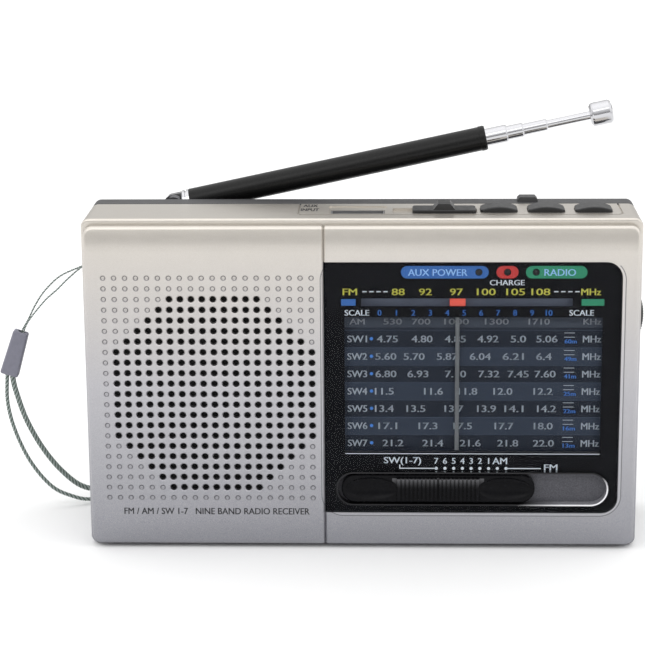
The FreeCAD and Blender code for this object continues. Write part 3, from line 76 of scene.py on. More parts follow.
# ---------------------------------------------------------------- material building
class Paint:
    """A material with a Principled shader, and short calls for the nodes that drive it."""

    def __init__(self, name, **inputs):
        self.material = bpy.data.materials.new(name)
        self.material.use_nodes = True
        self.tree = self.material.node_tree
        self.shader = self.tree.nodes["Principled BSDF"]
        self.coords = self.node("ShaderNodeTexCoord").outputs["Object"]
        self.set(**inputs)

    def node(self, kind, **settings):
        made = self.tree.nodes.new(kind)
        for key, value in settings.items():
            setattr(made, key, value)
        return made

    def link(self, source, target):
        self.tree.links.new(source, target)

    def set(self, **inputs):
        for key, value in inputs.items():
            self.shader.inputs[key.replace("_", " ")].default_value = value

    def drive(self, source, name):
        self.link(source, self.shader.inputs[name])

    def stretched(self, scale):
        """The object's own coordinates, scaled along each axis."""
        mapping = self.node("ShaderNodeMapping")
        mapping.inputs["Scale"].default_value = scale
        self.link(self.coords, mapping.inputs["Vector"])
        return mapping.outputs["Vector"]

    def noise(self, size, detail=3.0, stretch=None):
        """Smooth noise whose features measure about size metres."""
        texture = self.node("ShaderNodeTexNoise")
        texture.inputs["Scale"].default_value = 1.0 / size
        texture.inputs["Detail"].default_value = detail
        self.link(self.stretched(stretch) if stretch else self.coords, texture.inputs["Vector"])
        return texture.outputs["Fac"]

    def axis(self, letter):
        """The position along one axis, in metres."""
        split = self.node("ShaderNodeSeparateXYZ")
        self.link(self.coords, split.inputs[0])
        return split.outputs[letter]

    def math(self, operation, first, second=0.0, third=0.0):
        made = self.node("ShaderNodeMath", operation=operation)
        for slot, value in zip(made.inputs, (first, second, third)):
            if isinstance(value, (int, float)):
                slot.default_value = value
            else:
                self.link(value, slot)
        return made.outputs[0]

    def away(self, source, centre):
        """Distance from centre along one axis."""
        return self.math("ABSOLUTE", self.math("SUBTRACT", source, centre))

    def spread(self, source, low, high):
        """Turns 0..1 into low..high."""
        return self.math("MULTIPLY_ADD", source, high - low, low)

    def between(self, source, low, high):
        """1 where low < source < high, else 0."""
        above = self.math("GREATER_THAN", source, low)
        below = self.math("LESS_THAN", source, high)
        return self.math("MULTIPLY", above, below)

    def mix(self, factor, first, second):
        made = self.node("ShaderNodeMix", data_type="RGBA")
        colours = made.inputs[6], made.inputs[7]
        for slot, value in zip((made.inputs["Factor"], *colours), (factor, first, second)):
            if isinstance(value, tuple):
                slot.default_value = (*value, 1.0)
            elif isinstance(value, (int, float)):
                slot.default_value = value
            else:
                self.link(value, slot)
        return made.outputs[2]

    def bump(self, height, strength, depth):
        """Surface relief; depth is in metres."""
        made = self.node("ShaderNodeBump")
        made.inputs["Strength"].default_value = strength
        made.inputs["Distance"].default_value = depth
        self.link(height, made.inputs["Height"])
        self.drive(made.outputs[0], "Normal")


def silver_paint():
    """Champagne-silver metallic paint: fine flake, faint orange peel; painted shade, cooler and
    darker down.
    """
    paint = Paint("silver_paint", Metallic=0.8, Coat_Weight=0.15, Coat_Roughness=0.3)
    # Painted light and shade: the colour runs from dark cool grey at the bottom to light warm
    # silver at the top.
    rise = paint.math("DIVIDE", paint.axis("Z"), CABINET_HEIGHT)
    lower = paint.mix(paint.math("MULTIPLY", rise, 2.0), (0.21, 0.215, 0.25), (0.40, 0.395, 0.425))
    body = paint.mix(paint.math("MULTIPLY_ADD", rise, 2.0, -1.0), lower, (0.63, 0.585, 0.52))
    flake = paint.noise(0.16 * MM, 2.0)
    speckled = paint.mix(paint.spread(flake, -0.14, 0.36), body, (0.85, 0.84, 0.82))
    cloud = paint.mix(paint.spread(paint.noise(9 * MM), 0.0, 0.14), speckled, (0.38, 0.37, 0.36))
    # Painted shade on the sides of the grille's dimples.
    cloud = paint.mix(dimple_mask(paint), cloud, (0.13, 0.13, 0.14))
    bevel_highlight, seam = window_edge_masks(paint)
    # Painted highlight: the band on the window's bevel is made lighter.
    cloud = paint.mix(bevel_highlight, cloud, (0.75, 0.75, 0.77))
    cloud = paint.mix(seam, cloud, (0.12, 0.12, 0.13))
    floor = tray_floor_mask(paint)
    grain = paint.mix(paint.noise(0.22 * MM, 4.0), (0.03, 0.03, 0.035), (0.20, 0.20, 0.225))
    # The tray's rim is painted dark as shade, and lit at its lower right: painted shade and painted
    # highlight.
    rim, rim_highlight = tray_rim_masks(paint)
    rim_light_and_shade = paint.mix(rim_highlight, (0.018, 0.018, 0.020), (0.80, 0.80, 0.83))
    paint.drive(paint.mix(rim, paint.mix(floor, cloud, grain), rim_light_and_shade), "Base Color")
    roughness = paint.spread(paint.noise(1.5 * MM), 0.27, 0.36)
    roughness = paint.math("MULTIPLY", roughness, paint.math("MULTIPLY_ADD", rim, -0.5, 1.0))
    paint.drive(paint.math("MAXIMUM", roughness, paint.math("MULTIPLY", floor, 0.7)), "Roughness")
    paint.bump(paint.noise(0.3 * MM, 3.0), 0.18, 0.02 * MM)
    return paint.material


def dimple_mask(paint):
    """0.7 on the sides of the dimples beside the grille's through holes, for painted shade in them.
    """
    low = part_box("speaker_panel")[0]
    ring = paint.between(paint.axis("Y"), low.y + 0.01 * MM, low.y + 0.25 * MM)
    across = paint.away(paint.axis("X"), low.x + GRILLE_FROM_LEFT)
    up = paint.away(paint.axis("Z"), low.z + GRILLE_FROM_BOTTOM)
    inside = paint.math("MULTIPLY", paint.math("LESS_THAN", across, GRILLE_HALF_WIDTH),
                        paint.math("LESS_THAN", up, GRILLE_HALF_HEIGHT))
    wide = paint.math("GREATER_THAN", paint.math("MAXIMUM", across, up), GRILLE_REACH)
    corner = paint.math("GREATER_THAN", paint.math("ADD", across, up), GRILLE_DIAGONAL)
    dimpled = paint.math("MULTIPLY", inside, paint.math("MAXIMUM", wide, corner))
    return paint.math("MULTIPLY", paint.math("MULTIPLY", dimpled, ring), 0.7)


def window_edge_masks(paint):
    """The dial window's bevel for a painted highlight, and the fine dark line that runs round
    outside it.
    """
    low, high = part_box("dial_lens")
    corner = 4.5 * MM
    far = []
    for axis, start, end in (("X", low.x, high.x), ("Z", low.z, high.z)):
        offset = paint.away(paint.axis(axis), (start + end) / 2)
        past = paint.math("SUBTRACT", offset, (end - start) / 2 - corner)
        far.append(paint.math("MAXIMUM", past, 0.0))
    squares = paint.math("ADD", *(paint.math("MULTIPLY", length, length) for length in far))
    outside = paint.math("SUBTRACT", paint.math("SQRT", squares), corner)
    below_top = paint.math("LESS_THAN", paint.axis("Z"), high.z - 0.8 * MM)
    bevel_highlight = paint.math("MULTIPLY", paint.between(outside, 0.25 * MM, 0.7 * MM), 0.16)
    seam = paint.math("MULTIPLY", paint.between(outside, 0.7 * MM, 0.95 * MM), 0.8)
    return paint.math("MULTIPLY", bevel_highlight, below_top), paint.math("MULTIPLY", seam, below_top)


def tray_floor_mask(paint):
    """1 on the grained floor of the band slider's tray, which is moulded rough."""
    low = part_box("dial_lens")[0]
    floor_y = low.y + TRAY_FLOOR_DEPTH
    in_depth = paint.between(paint.axis("Y"), floor_y - 0.08 * MM, floor_y + 0.08 * MM)
    in_height = paint.between(paint.axis("Z"), low.z + 1.5 * MM, low.z + 10.6 * MM)
    return paint.math("MULTIPLY", in_depth, in_height)


def tray_rim_masks(paint):
    """1 on the rim round the slider's tray, and 1 on its painted highlight, the rim's lower right
    part.
    """
    low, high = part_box("dial_lens")
    middle_z = low.z + TRAY_MIDDLE
    ends = paint.away(paint.axis("X"), (low.x + high.x) / 2)
    near = paint.math("LESS_THAN", ends, (high.x - low.x) / 2 - 1.5 * MM)
    height = paint.away(paint.axis("Z"), middle_z)
    inside = paint.math("MULTIPLY", near, paint.math("LESS_THAN", height, TRAY_HALF))
    shallow = paint.between(paint.axis("Y"), low.y - 0.3 * MM, low.y + 2.4 * MM)
    # Painted highlight: brighter towards the right and below the tray's middle.
    from_right = paint.math("SUBTRACT", paint.axis("X"), high.x - 24 * MM)
    lower = paint.math("SUBTRACT", middle_z, paint.axis("Z"))
    lit = paint.math("ADD", paint.math("MULTIPLY", from_right, 90.0),
                     paint.math("MULTIPLY", lower, 260.0))
    rim_highlight = paint.node("ShaderNodeClamp")
    paint.link(paint.math("SUBTRACT", lit, 1.0), rim_highlight.inputs[0])
    return paint.math("MULTIPLY", inside, shallow), rim_highlight.outputs[0]


def slider_black():
    """Black slider: glossy dips at both ends, and ribs between that catch light near the top."""
    paint = Paint("slider_black")
    low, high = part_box("band_knob")
    across = paint.away(paint.axis("X"), (low.x + high.x) / 2)
    above = paint.math("SUBTRACT", paint.axis("Z"), (low.z + high.z) / 2)
    rise = paint.math("DIVIDE", above, SLIDER_HALF)
    along = paint.math("DIVIDE", paint.math("SUBTRACT", across, DIP_CENTRE), DIP_HALF)
    dip = paint.math("ADD", paint.math("MULTIPLY", along, along),
                     paint.math("MULTIPLY", paint.math("MULTIPLY", rise, rise), 1.2))
    ribs = paint.math("MULTIPLY", paint.math("GREATER_THAN", dip, 1.0),
                      paint.math("LESS_THAN", across, RIBS_END))
    # Painted highlight: the ribs' colour lightens towards their top.
    lit = paint.math("POWER", paint.math("MAXIMUM", rise, 0.0), 2.0)
    lit = paint.math("MULTIPLY", lit, paint.math("LESS_THAN", rise, 0.8))
    ribbed = paint.mix(lit, (0.004, 0.004, 0.005), (0.15, 0.15, 0.16))
    smooth = paint.mix(paint.noise(2 * MM, 4.0), (0.003, 0.003, 0.004), (0.006, 0.006, 0.007))
    paint.drive(paint.mix(ribs, smooth, ribbed), "Base Color")
    paint.drive(paint.spread(paint.noise(1.2 * MM, 6.0), 0.2, 0.35), "Roughness")
    paint.drive(paint.spread(paint.math("MULTIPLY", ribs, lit), 0.08, 0.3), "Specular IOR Level")
    paint.bump(paint.noise(0.5 * MM, 3.0), 0.05, 0.02 * MM)
    return paint.material


def textured_plastic(name, dark, light, roughness, grain, relief):
    """Moulded plastic with a fine spark-eroded texture."""
    paint = Paint(name, Specular_IOR_Level=0.42)
    paint.drive(paint.mix(paint.noise(3 * MM, 4.0), dark, light), "Base Color")
    uneven = paint.spread(paint.noise(grain * 3), roughness - 0.07, roughness + 0.09)
    paint.drive(uneven, "Roughness")
    paint.bump(paint.noise(grain, 4.0), relief, 0.03 * MM)
    return paint.material


def gloss_plastic(name, dark, light, roughness, gloss=0.5):
    """Smooth plastic with faint handling marks in its gloss."""
    paint = Paint(name, Specular_IOR_Level=gloss)
    paint.drive(paint.mix(paint.noise(2 * MM, 4.0), dark, light), "Base Color")
    marks = paint.math("POWER", paint.noise(1.2 * MM, 6.0, (1, 1, 0.25)), 3.0)
    paint.drive(paint.spread(marks, roughness, roughness + 0.35), "Roughness")
    paint.bump(paint.noise(0.5 * MM, 3.0), 0.05, 0.02 * MM)
    return paint.material


def bright_metal(name, colour, roughness, stretch):
    """Plated or drawn metal with fine marks along its length."""
    paint = Paint(name, Metallic=1.0)
    lines = paint.noise(0.12 * MM, 4.0, stretch)
    dull = tuple(channel * 0.72 for channel in colour)
    paint.drive(paint.mix(paint.spread(lines, 0.0, 0.55), colour, dull), "Base Color")
    paint.drive(paint.spread(lines, roughness * 0.6, roughness * 1.7), "Roughness")
    paint.bump(lines, 0.06, 0.01 * MM)
    return paint.material


def black_tube():
    """Black sleeve of the antenna: soft gloss broken by fine speckle."""
    paint = Paint("black_sleeve", Coat_Weight=0.08, Coat_Roughness=0.2, Specular_IOR_Level=0.2)
    speckle = paint.math("POWER", paint.noise(0.28 * MM, 5.0), 5.0)
    paint.drive(paint.mix(speckle, (0.003, 0.003, 0.003), (0.05, 0.05, 0.05)), "Base Color")
    paint.drive(paint.spread(paint.noise(0.5 * MM, 4.0), 0.2, 0.46), "Roughness")
    paint.bump(paint.noise(0.35 * MM, 4.0), 0.22, 0.02 * MM)
    return paint.material


def clear_acrylic():
    """Clear lens: it lets light straight through and only adds its own surface reflection."""
    paint = Paint("clear_acrylic", Roughness=0.04)
    paint.drive(paint.mix(paint.noise(8 * MM), (0.9, 0.93, 0.96), (0.96, 0.97, 1.0)), "Base Color")
    glare = paint.node("ShaderNodeBsdfGlossy")
    smear = paint.math("POWER", paint.noise(4 * MM, 5.0), 4.0)
    paint.link(paint.spread(smear, 0.03, 0.2), glare.inputs["Roughness"])
    clear = paint.node("ShaderNodeBsdfTransparent")
    clear.inputs["Color"].default_value = (0.97, 0.98, 0.99, 1.0)
    fresnel = paint.node("ShaderNodeFresnel")
    fresnel.inputs["IOR"].default_value = 1.12
    blend = paint.node("ShaderNodeMixShader")
    paint.link(fresnel.outputs[0], blend.inputs[0])
    paint.link(clear.outputs[0], blend.inputs[1])
    paint.link(glare.outputs[0], blend.inputs[2])
    paint.link(blend.outputs[0], paint.tree.nodes["Material Output"].inputs["Surface"])
    return paint.material


def ink(name, colour, painted_glow=0.0):
    """Screen-printed ink, a little uneven in density; its last argument adds a faint painted glow.
    """
    paint = Paint(name, Roughness=0.5)
    thin = tuple(channel * 0.82 for channel in colour)
    shade = paint.mix(paint.noise(0.35 * MM, 4.0), thin, colour)
    paint.drive(shade, "Base Color")
    # Painted glow: the ink gives off light of its own colour, though it is no lamp.
    if painted_glow:
        paint.drive(shade, "Emission Color")
        paint.set(Emission_Strength=painted_glow)
    return paint.material


def mask_print():
    """Solid black printed on the back of the lens."""
    paint = Paint("black_print", Roughness=0.5, Specular_IOR_Level=0.05)
    shade = paint.mix(paint.noise(5 * MM, 4.0), (0.003, 0.003, 0.004), (0.006, 0.006, 0.008))
    paint.drive(shade, "Base Color")
    return paint.material


def scale_print():
    """The dial scale: an AM strip above seven shortwave strips, dark and blue-grey in turn."""
    paint = Paint("dial_scale", Roughness=0.5, Specular_IOR_Level=0.1)
    z = paint.axis("Z")
    rows_down = paint.math("DIVIDE", paint.math("SUBTRACT", SW_TOP, z), SW_STEP)
    strip = paint.math("MAXIMUM", rows_down, 0.0)
    odd = paint.math("GREATER_THAN", paint.math("FRACT", paint.math("MULTIPLY", strip, 0.5)), 0.5)
    dark, slate = (0.010, 0.012, 0.019), (0.034, 0.044, 0.066)
    header, track = (0.055, 0.063, 0.080), (0.17, 0.19, 0.25)
    rows = paint.mix(odd, dark, slate)
    rows = paint.mix(paint.math("GREATER_THAN", z, HEADER_LOW), rows, header)
    edge = paint.math("FRACT", strip)
    line = paint.between(edge, 0.0, 0.035)
    rows = paint.mix(paint.math("MULTIPLY", line, 0.5), rows, (0.10, 0.13, 0.19))
    rows = paint.mix(paint.math("GREATER_THAN", z, WINDOW_TOP + 0.6 * MM), rows, track)
    uneven = paint.mix(paint.spread(paint.noise(6 * MM, 5.0), 0.0, 0.5), rows, (0.03, 0.04, 0.06))
    paint.drive(uneven, "Base Color")
    return paint.material


def circuit_board():
    """Green lacquer with paler copper tracks under it."""
    paint = Paint("circuit_board", Roughness=0.35)
    brick = paint.node("ShaderNodeTexBrick")
    brick.inputs["Scale"].default_value = 260.0
    brick.inputs["Mortar Size"].default_value = 0.03
    greens = {"Color1": (0.012, 0.09, 0.03), "Color2": (0.015, 0.12, 0.04),
              "Mortar": (0.05, 0.25, 0.08)}
    for slot, colour in greens.items():
        brick.inputs[slot].default_value = (*colour, 1.0)
    swap = paint.node("ShaderNodeCombineXYZ")
    paint.link(paint.axis("X"), swap.inputs[0])
    paint.link(paint.axis("Z"), swap.inputs[1])
    paint.link(swap.outputs[0], brick.inputs["Vector"])
    paint.drive(brick.outputs["Color"], "Base Color")
    paint.bump(brick.outputs["Fac"], 0.2, 0.03 * MM)
    return paint.material


def soft_material(name, dark, light, grain, relief, sheen=0.0):
    """Felt, paper, cord or rubber: matt, uneven and finely rough."""
    paint = Paint(name, Roughness=0.85, Sheen_Weight=sheen)
    paint.drive(paint.mix(paint.noise(grain * 2, 5.0), dark, light), "Base Color")
    paint.bump(paint.noise(grain, 4.0), relief, 0.08 * MM)
    return paint.material


def winding():
    """Enamelled wire wound turn by turn along X, with painted shade in the hollows between turns.
    """
    paint = Paint("copper_winding", Metallic=0.8, Roughness=0.35)
    turns = paint.math("SINE", paint.math("MULTIPLY", paint.axis("X"), 2 * math.pi / (0.35 * MM)))
    # Painted shade: the colour darkens in the hollows between turns.
    height = paint.spread(turns, 0.5, 1.0)
    paint.drive(paint.mix(height, (0.16, 0.05, 0.02), (0.72, 0.32, 0.14)), "Base Color")
    paint.bump(height, 0.8, 0.1 * MM)
    return paint.material


# ---------------------------------------------------------------- dial layout, from the frame
plate_low, plate_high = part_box("scale_plate")
mask_low, mask_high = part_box("dial_mask")
lens_low, lens_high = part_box("dial_lens")
WINDOW_TOP = plate_high.z - 6.56 * MM
WINDOW_LOW = plate_low.z + 1.6 * MM
SW_STEP = 4.46 * MM
SW_TOP = WINDOW_LOW + 7 * SW_STEP
HEADER_LOW = SW_TOP + 0.62 * MM

MATERIALS = {
    "silver": silver_paint(),
    "dark": textured_plastic("dark_housing", (0.045, 0.045, 0.047), (0.070, 0.070, 0.072), 0.5,
                             0.35 * MM, 0.35),
    "black": gloss_plastic("black_plastic", (0.006, 0.006, 0.007), (0.014, 0.014, 0.015), 0.3),
    "knob": slider_black(),
    "grey": textured_plastic("grey_plastic", (0.20, 0.20, 0.21), (0.28, 0.28, 0.29), 0.5,
                             0.4 * MM, 0.2),
    "needle": gloss_plastic("needle_grey", (0.09, 0.095, 0.10), (0.14, 0.145, 0.15), 0.35),
    "red": gloss_plastic("red_plastic", (0.80, 0.07, 0.04), (0.86, 0.10, 0.055), 0.3),
    "chrome": bright_metal("chrome_plate", (0.62, 0.62, 0.64), 0.09, (0.05, 1, 1)),
    "steel": bright_metal("plain_steel", (0.55, 0.55, 0.56), 0.3, (1, 1, 0.1)),
    "brass": bright_metal("turned_brass", (0.75, 0.55, 0.25), 0.25, (1, 0.05, 1)),
    "tube": black_tube(),
    "acrylic": clear_acrylic(),
    "mask": mask_print(),
    "scale": scale_print(),
    "board": circuit_board(),
    "epoxy": gloss_plastic("led_epoxy", (0.008, 0.008, 0.009), (0.016, 0.016, 0.018), 0.12, 0.25),
    "felt": soft_material("grille_felt", (0.002, 0.002, 0.002), (0.008, 0.008, 0.008),
                          0.15 * MM, 0.8, 0.2),
    "paper": soft_material("cone_paper", (0.02, 0.02, 0.02), (0.05, 0.05, 0.05), 0.4 * MM, 0.6),
    "ferrite": soft_material("ferrite", (0.02, 0.02, 0.022), (0.05, 0.05, 0.052), 0.3 * MM, 0.4),
    "wire": winding(),
    "cell": gloss_plastic("cell_wrap", (0.02, 0.05, 0.16), (0.03, 0.07, 0.2), 0.35),
    "cord": soft_material("strap_cord", (0.055, 0.085, 0.07), (0.13, 0.17, 0.15), 0.12 * MM,
                          0.7, 0.4),
    "pale cord": soft_material("strap_cord_pale", (0.26, 0.31, 0.29), (0.42, 0.47, 0.45),
                               0.12 * MM, 0.7, 0.4),
    "bead": soft_material("strap_bead", (0.17, 0.17, 0.21), (0.23, 0.23, 0.28), 0.6 * MM, 0.12,
                          0.1),
    # The last number of each ink is its painted glow.
    "white ink": ink("white_ink", (0.80, 0.84, 0.88), 0.12),
    "scale ink": ink("scale_ink", (0.50, 0.55, 0.60), 0.08),
    # A darker copy of the scale ink: painted shade on the AM row, under the window's top edge.
    "shaded ink": ink("shaded_ink", (0.33, 0.35, 0.38), 0.05),
    "yellow ink": ink("yellow_ink", (0.72, 0.70, 0.13), 0.15),
    "blue ink": ink("blue_ink", (0.045, 0.20, 0.62), 0.12),
    "pale ink": ink("pale_blue_ink", (0.40, 0.62, 0.85), 0.18),
    "blue label": ink("blue_label", (0.018, 0.125, 0.42), 0.05),
    "green label": ink("green_label", (0.008, 0.24, 0.115), 0.1),
    "red label": ink("red_label", (0.52, 0.022, 0.018), 0.1),
    "grey ink": ink("grey_ink", (0.055, 0.055, 0.06)),
    "black ink": ink("black_ink", (0.02, 0.02, 0.025)),
}

FINISHES = {
    "silver": "front_housing speaker_panel dial_panel",
    "dark": "rear_cover battery_door",
    "knob": "band_knob",
    "black": "function_knob previous_button play_button next_button tuning_wheel volume_wheel"
             " tuning_drum cord_pulley_left cord_pulley_right band_switch_slider headphone_jack",
    "grey": "dial_frame ferrite_holders volume_pot tuning_capacitor",
    "needle": "dial_pointer",
    "red": "pointer_flag",
    "chrome": "antenna_base antenna_pin antenna_knuckle antenna_section_1 antenna_section_2"
              " antenna_section_3 antenna_rod antenna_tip antenna_screw",
    "steel": "cabinet_screws small_screws tuning_axle usb_socket charge_socket band_switch"
             " function_switch button_switches speaker_frame speaker_magnet battery_contacts",
    "brass": "capacitor_shaft",
    "tube": "antenna_tube",
    "acrylic": "dial_lens",
    "mask": "dial_mask",
    "scale": "scale_plate",
    "board": "main_board player_board",
    "epoxy": "indicator_leds",
    "felt": "grille_cloth",
    "paper": "speaker_cone",
    "ferrite": "ferrite_rod",
    "wire": "ferrite_coil",
    "cell": "battery_pack",
    "cord": "strap_string strap_cord dial_cord",
    "bead": "strap_bead",
}
for finish, names in FINISHES.items():
    for name in names.split():
        mesh = nodes[name].data
        mesh.materials.clear()
        mesh.materials.append(MATERIALS[finish])


# ---------------------------------------------------------------- printing on the dial
CAPITAL = 0.729  # a capital's height in the font's own units


def circle(x, z, radius):
    """Points round a circle."""
    turns = [2 * math.pi * i / CIRCLE_STEPS for i in range(CIRCLE_STEPS)]
    return [(x + radius * math.cos(turn), z + radius * math.sin(turn)) for turn in turns]


def mesh_of_curve(curve):
    """The curve's filled outline as a mesh; the object that held the curve is removed again."""
    holder = bpy.data.objects.new(curve.name, curve)
    bpy.context.scene.collection.objects.link(holder)
    bpy.context.view_layer.update()
    shown = holder.evaluated_get(bpy.context.evaluated_depsgraph_get())
    mesh = bpy.data.meshes.new_from_object(shown)
    bpy.data.objects.remove(holder)
    return mesh


def place(name, mesh):
    """A new piece that holds the mesh and rides on the cabinet."""
    piece = bpy.data.objects.new(name, mesh)
    bpy.context.scene.collection.objects.link(piece)
    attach(piece, "cabinet")
    return piece


class Print:
    """Collects flat printed shapes of one ink into one thin piece, upright or lying on the deck."""

    def __init__(self, name, finish, level, lying=False):
        self.name, self.finish, self.level, self.lying = name, finish, level, lying
        self.vertices, self.faces = [], []

    def add(self, points, faces):
        """points are (x, z) in metres, or (x, y) on a print that lies flat."""
        base = len(self.vertices)
        for x, up in points:
            self.vertices.append((x, up, self.level) if self.lying else (x, self.level, up))
        self.faces += [[base + i for i in face] for face in faces]

    def rectangle(self, x0, x1, z0, z1):
        self.add([(x0, z0), (x1, z0), (x1, z1), (x0, z1)], [(0, 1, 2, 3)])

    def disc(self, x, z, radius):
        self.add(circle(x, z, radius), [range(CIRCLE_STEPS)])

    def words(self, text, x, z, height, width=None, weight=0.045 * MM):
        """Lettering centred on (x, z); height is a capital's, and width stretches the whole line.

        Each letter is printed twice, weight to either side, so its upright strokes come out bold.
        """
        curve = bpy.data.curves.new("words", "FONT")
        curve.body = text
        curve.resolution_u = 3
        mesh = mesh_of_curve(curve)
        corners = [vertex.co.copy() for vertex in mesh.vertices]
        low_x, high_x = min(c.x for c in corners), max(c.x for c in corners)
        rise = height / CAPITAL
        run = width / (high_x - low_x) if width else rise
        middle = (low_x + high_x) / 2
        faces = [list(face.vertices) for face in mesh.polygons]
        for shift in (-weight, weight):
            self.add([(x + shift + (c.x - middle) * run, z + (c.y - CAPITAL / 2) * rise)
                      for c in corners], faces)
        bpy.data.curves.remove(curve)
        bpy.data.meshes.remove(mesh)

    def build(self):
        mesh = bpy.data.meshes.new(self.name)
        mesh.from_pydata(self.vertices, [], self.faces)
        mesh.materials.append(MATERIALS[self.finish])
        piece = place(self.name, mesh)
        thick = piece.modifiers.new("thickness", "SOLIDIFY")
        thick.thickness = 0.03 * MM
        thick.offset = 0.0


def pill(name, finish, x0, x1, hole_x):
    """A round-ended label with a hole for its lamp, in the row of lamps."""
    curve = bpy.data.curves.new(name, "CURVE")
    curve.dimensions = "2D"
    curve.fill_mode = "BOTH"
    curve.extrude = 0.015 * MM
    radius = LABEL_HEIGHT / 2
    steps = 12
    ends = [(x1 - radius, -90), (x0 + radius, 90)]
    rim = [(cx + radius * math.cos(math.radians(start + 180 * i / steps)),
            radius * math.sin(math.radians(start + 180 * i / steps)))
           for cx, start in ends for i in range(steps + 1)]
    for ring in (rim, circle(hole_x, 0.0, LAMP_HOLE)):
        spline = curve.splines.new("POLY")
        spline.points.add(len(ring) - 1)
        for point, (px, pz) in zip(spline.points, ring):
            point.co = (px, pz, 0, 1)
        spline.use_cyclic_u = True
    mesh = mesh_of_curve(curve)
    upright = Matrix.Rotation(math.radians(90), 4, "X")
    mesh.transform(Matrix.Translation((0, LABEL_Y, led_row)) @ upright)
    mesh.materials.clear()
    mesh.materials.append(MATERIALS[finish])
    place(name, mesh)


# Positions on the print are counted from the frame's centre line (x) and from its bottom (z).
MASK_Y = mask_low.y - 0.03 * MM
LABEL_Y = mask_low.y - 0.02 * MM
PLATE_Y = plate_low.y - 0.03 * MM
LABEL_HEIGHT, LAMP_HOLE = 3.1 * MM, 0.9 * MM
led_row = mask_high.z - 2.76 * MM
fm_row = mask_high.z - 7.61 * MM
track_row = mask_high.z - 10.3 * MM
digit_row = mask_high.z - 12.87 * MM
legend_row = mask_low.z + 13.13 * MM
dot_row = mask_low.z + 11.13 * MM
TUNE_LEFT, TUNE_STEP = 4.53 * MM, 4.135 * MM
DOT_LEFT, DOT_STEP = 18.56 * MM, 2.165 * MM


def print_mask():
    """Lettering and marks printed in front of the black mask."""
    white = Print("print_white", "white ink", MASK_Y)
    yellow = Print("print_yellow", "yellow ink", MASK_Y)
    blue = Print("print_blue", "blue ink", MASK_Y)
    pale = Print("print_pale", "pale ink", MASK_Y)
    labels = Print("print_marks", "blue label", LABEL_Y)
    green = Print("print_green_mark", "green label", LABEL_Y)

    pill("label_blue", "blue label", 9.75 * MM, 31.08 * MM, 28.70 * MM)
    pill("label_red", "red label", 32.96 * MM, 38.31 * MM, 35.65 * MM)
    pill("label_green", "green label", 40.10 * MM, 55.0 * MM, 42.60 * MM)
    pale.words("AUX POWER", 18.7 * MM, led_row, 1.75 * MM, 14.4 * MM)
    pale.words("RADIO", 48.4 * MM, led_row, 1.75 * MM, 7.6 * MM)
    white.words("CHARGE", 35.6 * MM, led_row - 2.55 * MM, 1.4 * MM, 8.4 * MM)

    yellow.words("FM", -2.7 * MM, fm_row, 1.75 * MM, 3.45 * MM)
    for text, x, width in (("88", 9.1, 3.1), ("92", 15.73, 3.1), ("97", 23.27, 3.1),
                           ("100", 30.53, 4.5), ("105", 37.68, 4.5), ("108", 43.79, 4.5),
                           ("MHz", 56.0, 4.75)):
        yellow.words(text, x * MM, fm_row, 1.75 * MM, width * MM)
    for start in (0.35, 47.0):
        for dash in range(4):
            left = (start + dash * 1.71) * MM
            white.rectangle(left, left + 1.05 * MM, fm_row - 0.12 * MM, fm_row + 0.12 * MM)

    labels.rectangle(-4.85 * MM, -1.31 * MM, track_row - 0.82 * MM, track_row + 0.82 * MM)
    green.rectangle(53.73 * MM, 59.22 * MM, track_row - 0.82 * MM, track_row + 0.82 * MM)
    for x in (-1.0, 53.8):
        white.words("SCALE", x * MM, digit_row, 1.5 * MM, 5.95 * MM)
    for number in range(11):
        blue.words(str(number), TUNE_LEFT + number * TUNE_STEP, digit_row, 1.5 * MM)

    white.words("SW(1-7)", 10.17 * MM, legend_row + 0.15 * MM, 1.7 * MM, 9.2 * MM)
    for step, text in enumerate("7654321"):
        white.words(text, DOT_LEFT + step * DOT_STEP, legend_row, 1.6 * MM)
    white.words("AM", 34.3 * MM, legend_row, 1.75 * MM, 3.6 * MM)
    white.words("FM", 46.95 * MM, dot_row + 0.35 * MM, 1.7 * MM, 3.25 * MM)
    for step in range(9):
        white.disc(DOT_LEFT + step * DOT_STEP, dot_row, 0.4 * MM)
    line = 0.12 * MM
    white.rectangle(9.38 * MM, DOT_LEFT, dot_row - line, dot_row + line)
    white.rectangle(9.38 * MM, 9.38 * MM + 2 * line, dot_row + line, dot_row + 0.95 * MM)
    white.rectangle(DOT_LEFT + 8 * DOT_STEP, 44.5 * MM, dot_row - line, dot_row + line)
    left, right = lens_low.x + 5.0 * MM, lens_high.x - 4.5 * MM
    white.rectangle(left, right, WINDOW_LOW - 0.16 * MM, WINDOW_LOW)
    for piece in (white, yellow, blue, pale, labels, green):
        piece.build()


# Each shortwave band: its name, its metre band, and its numbers with their places across in mm.
BANDS = (
    ("SW1", "60m",
     (("4.75", 6.42), ("4.80", 14.95), ("4.85", 23.11),
      ("4.92", 31.15), ("5.0", 38.59), ("5.06", 45.58))),
    ("SW2", "49m",
     (("5.60", 6.06), ("5.70", 13.02), ("5.87", 21.19),
      ("6.04", 29.31), ("6.21", 37.38), ("6.4", 44.92))),
    ("SW3", "41m",
     (("6.80", 6.08), ("6.93", 13.97), ("7.10", 23.25),
      ("7.32", 31.45), ("7.45", 38.66), ("7.60", 45.27))),
    ("SW4", "25m",
     (("11.5", 5.67), ("11.6", 17.82), ("11.8", 26.30), ("12.0", 34.95), ("12.2", 44.82))),
    ("SW5", "22m",
     (("13.4", 5.67), ("13.5", 13.50), ("13.7", 22.91),
      ("13.9", 30.96), ("14.1", 37.73), ("14.2", 45.77))),
    ("SW6", "16m",
     (("17.1", 6.51), ("17.3", 16.50), ("17.5", 25.08), ("17.7", 35.34), ("18.0", 45.02))),
    ("SW7", "13m",
     (("21.2", 7.80), ("21.4", 17.71), ("21.6", 27.01), ("21.8", 36.32), ("22.0", 45.14))),
)


